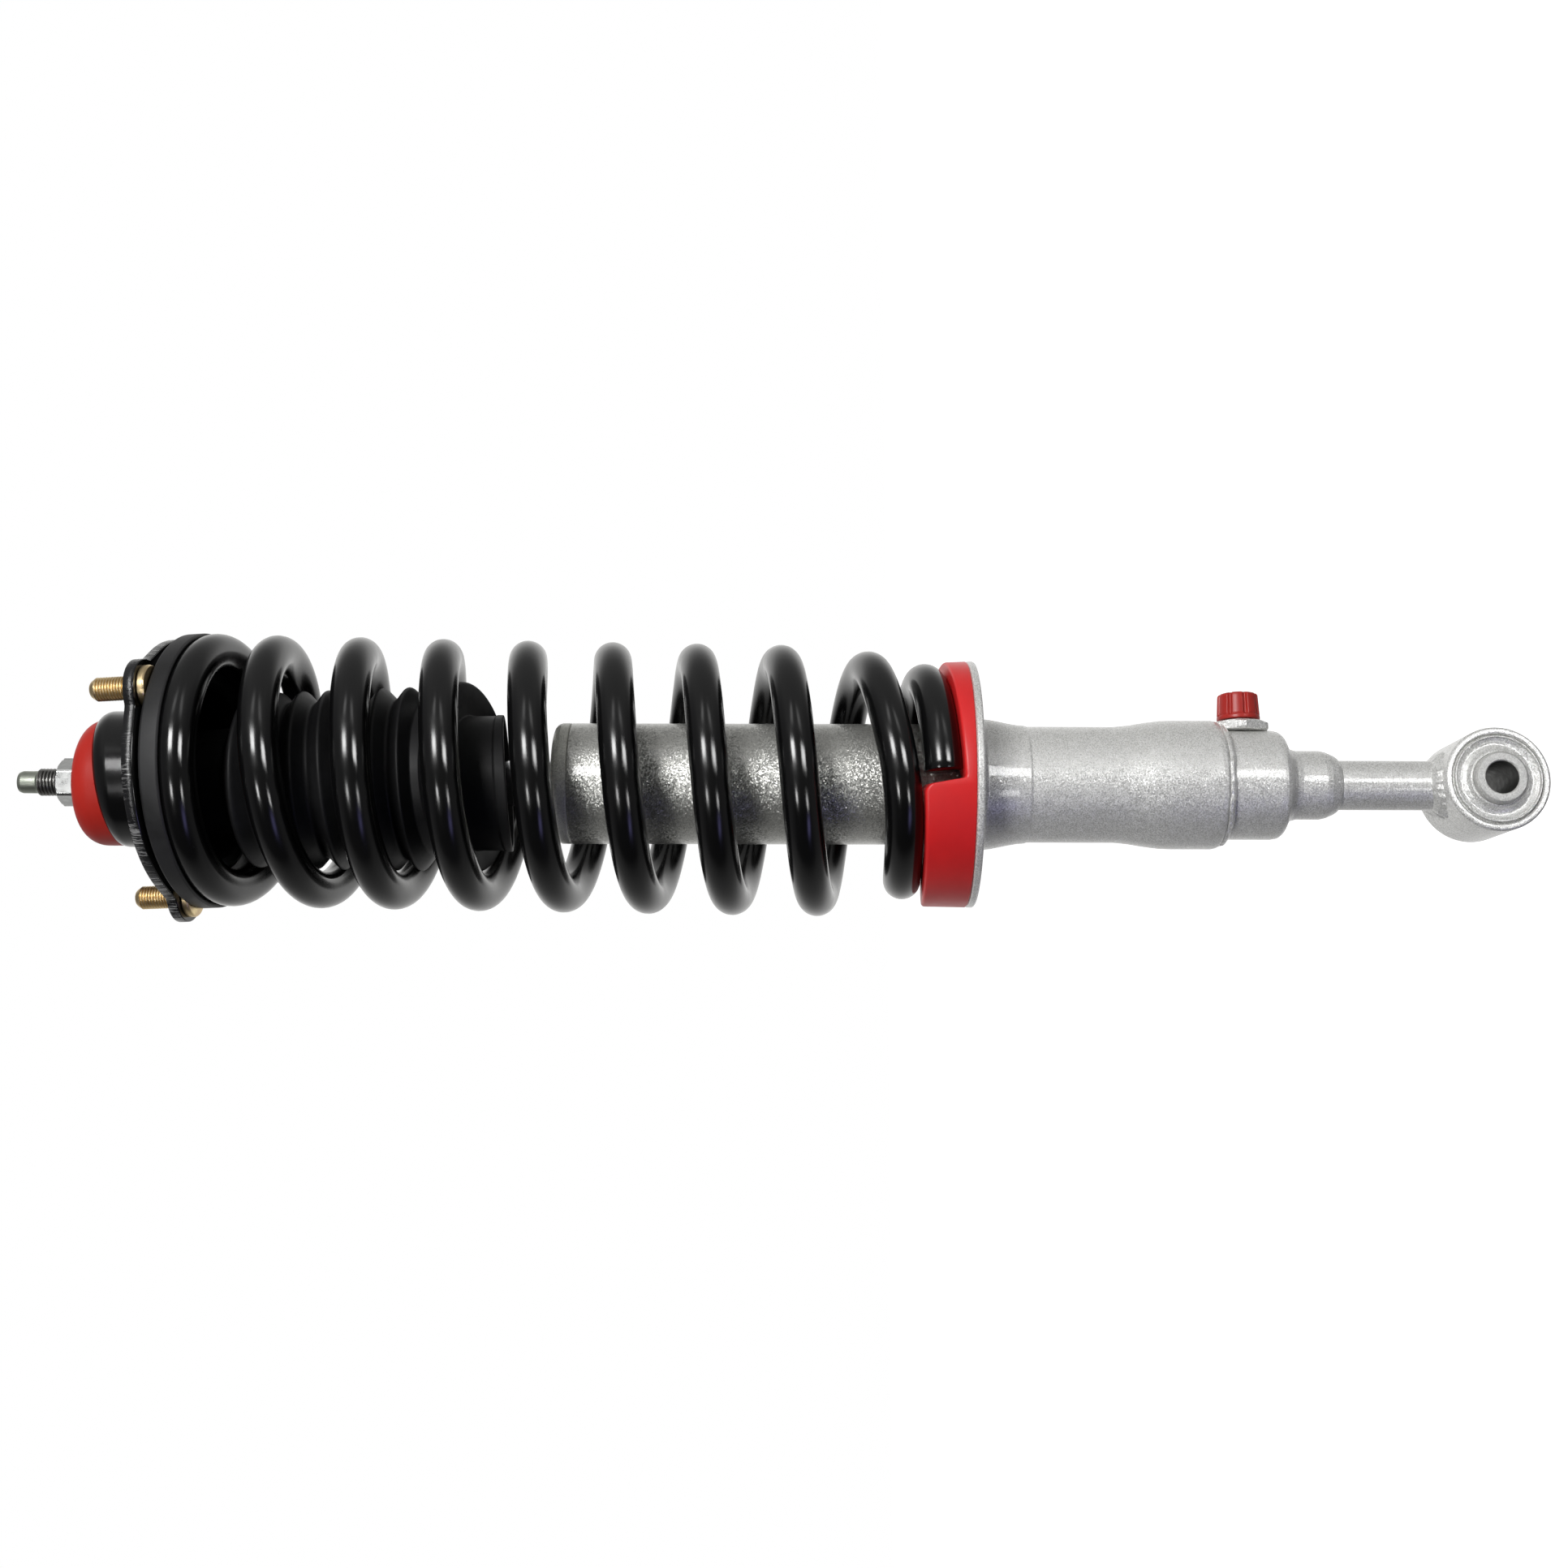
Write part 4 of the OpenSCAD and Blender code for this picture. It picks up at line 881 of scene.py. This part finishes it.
# ---------------------------------------------------------------- light and floor
def studio_world():
    """A dim room with a white table behind the object. The backdrop itself reads white."""
    w = bpy.data.worlds.new("studio")
    w.use_nodes = True
    nt = w.node_tree
    way = node(nt, "ShaderNodeTexCoord").outputs["Generated"]

    def along(v):
        return node(nt, "ShaderNodeVectorMath", {0: way, 1: tuple(v)}, operation="DOT_PRODUCT").outputs["Value"]
    c, u, z = along(C), along(U), along(Z)
    au = math_node(nt, "DEGREES", math_node(nt, "ARCTAN2", u, c))
    az = math_node(nt, "DEGREES", math_node(nt, "ARCTAN2", z, c))

    def band(v, mid, half, edge):
        d = math_node(nt, "ABSOLUTE", math_node(nt, "SUBTRACT", v, mid))
        return node(nt, "ShaderNodeMapRange", {"Value": d, "From Min": half + edge, "From Max": half - edge, "To Min": 0.0, "To Max": 1.0}, interpolation_type="SMOOTHSTEP").outputs["Result"]

    def panel(mu, hu, mz, hz, edge):
        return math_node(nt, "MULTIPLY", band(au, mu, hu, edge), band(az, mz, hz, edge))
    flat = node(nt, "ShaderNodeMapRange", {"Value": math_node(nt, "ABSOLUTE", z), "From Min": 0.55, "From Max": 0.95, "To Min": 1.0, "To Max": 0.0}, interpolation_type="SMOOTHSTEP").outputs["Result"]
    # brightness round the strut's long side, by the angle from the camera's own direction
    round_about = [(-180, 1.0), (-150, 0.88), (-130, 0.52), (-110, 0.34), (-95, 0.27), (-88, 0.22), (-80, 0.13), (-74, 0.03), (-28, 0.02), (-12, 0.10), (20, 0.14),
                   (38, 0.20), (46, 0.34), (108, 0.34), (118, 0.36), (134, 0.60), (150, 1.0), (180, 1.0)]
    tone = ramp(nt, span(nt, au, 0.0, 1.0, -180.0, 180.0), [((a + 180) / 360, (v, v * 0.997, v * 0.985)) for a, v in round_about])
    col = mix(nt, flat, (0.16, 0.16, 0.163), tone)
    for mu, hu, mz, hz, edge, tone in ((57, 8, 23, 9, 5, (1.9, 1.9, 1.9)), (57, 8, -35, 9, 5, (1.6, 1.6, 1.6)), (-39, 9, -36, 8, 6, (0.9, 0.85, 1.9))):
        col = mix(nt, 1.0, col, mix(nt, panel(mu, hu, mz, hz, edge), (0, 0, 0), tone), "ADD")
    seen = node(nt, "ShaderNodeLightPath").outputs["Is Camera Ray"]
    nt.links.new(mix(nt, seen, col, (1.0, 1.0, 1.0)), nt.nodes["Background"].inputs["Color"])
    nt.nodes["Background"].inputs["Strength"].default_value = 1.0
    return w


scene.world = studio_world()


def area(name, elev_u, elev_z, distance, size, radiance, size_y=None, color=(1, 1, 1), target=(0, 0, 0.36)):
    """A soft box, placed by its angles from the camera's own direction, as bright as radiance says."""
    size_y = size_y or size
    d = bpy.data.lights.new(name, "AREA")
    d.shape, d.size, d.size_y, d.color = "RECTANGLE", size, size_y, color
    d.energy = radiance * math.pi * size * size_y
    o = bpy.data.objects.new(name, d)
    scene.collection.objects.link(o)
    way = (C + U * math.tan(math.radians(elev_u)) + Z * math.tan(math.radians(elev_z))).normalized()
    o.matrix_world = Matrix.Translation(Vector(target) + way * distance) @ Matrix((Z.cross(way).normalized(), way.cross(Z.cross(way)).normalized(), way)).transposed().to_4x4()
    return o


area("lamp_a", 24.5, 23, 1.6, 0.42, 24.0, 0.50)
area("lamp_b", 24.5, -35, 1.6, 0.42, 21.0, 0.50)
area("lamp_c", -16, 23, 1.6, 0.26, 17.0, 0.26)
area("lamp_d", -16, -35, 1.6, 0.26, 12.0, 0.26)

floor_mesh = bpy.data.meshes.new("studio_floor")
floor_mesh.from_pydata([(-6, -6, -0.09), (6, -6, -0.09), (6, 6, -0.09), (-6, 6, -0.09)], [], [(0, 1, 2, 3)])
floor_mesh.materials.append(M_FLOOR)
floor = bpy.data.objects.new("studio_floor", floor_mesh)
scene.collection.objects.link(floor)
floor.visible_glossy = floor.visible_diffuse = floor.visible_transmission = False
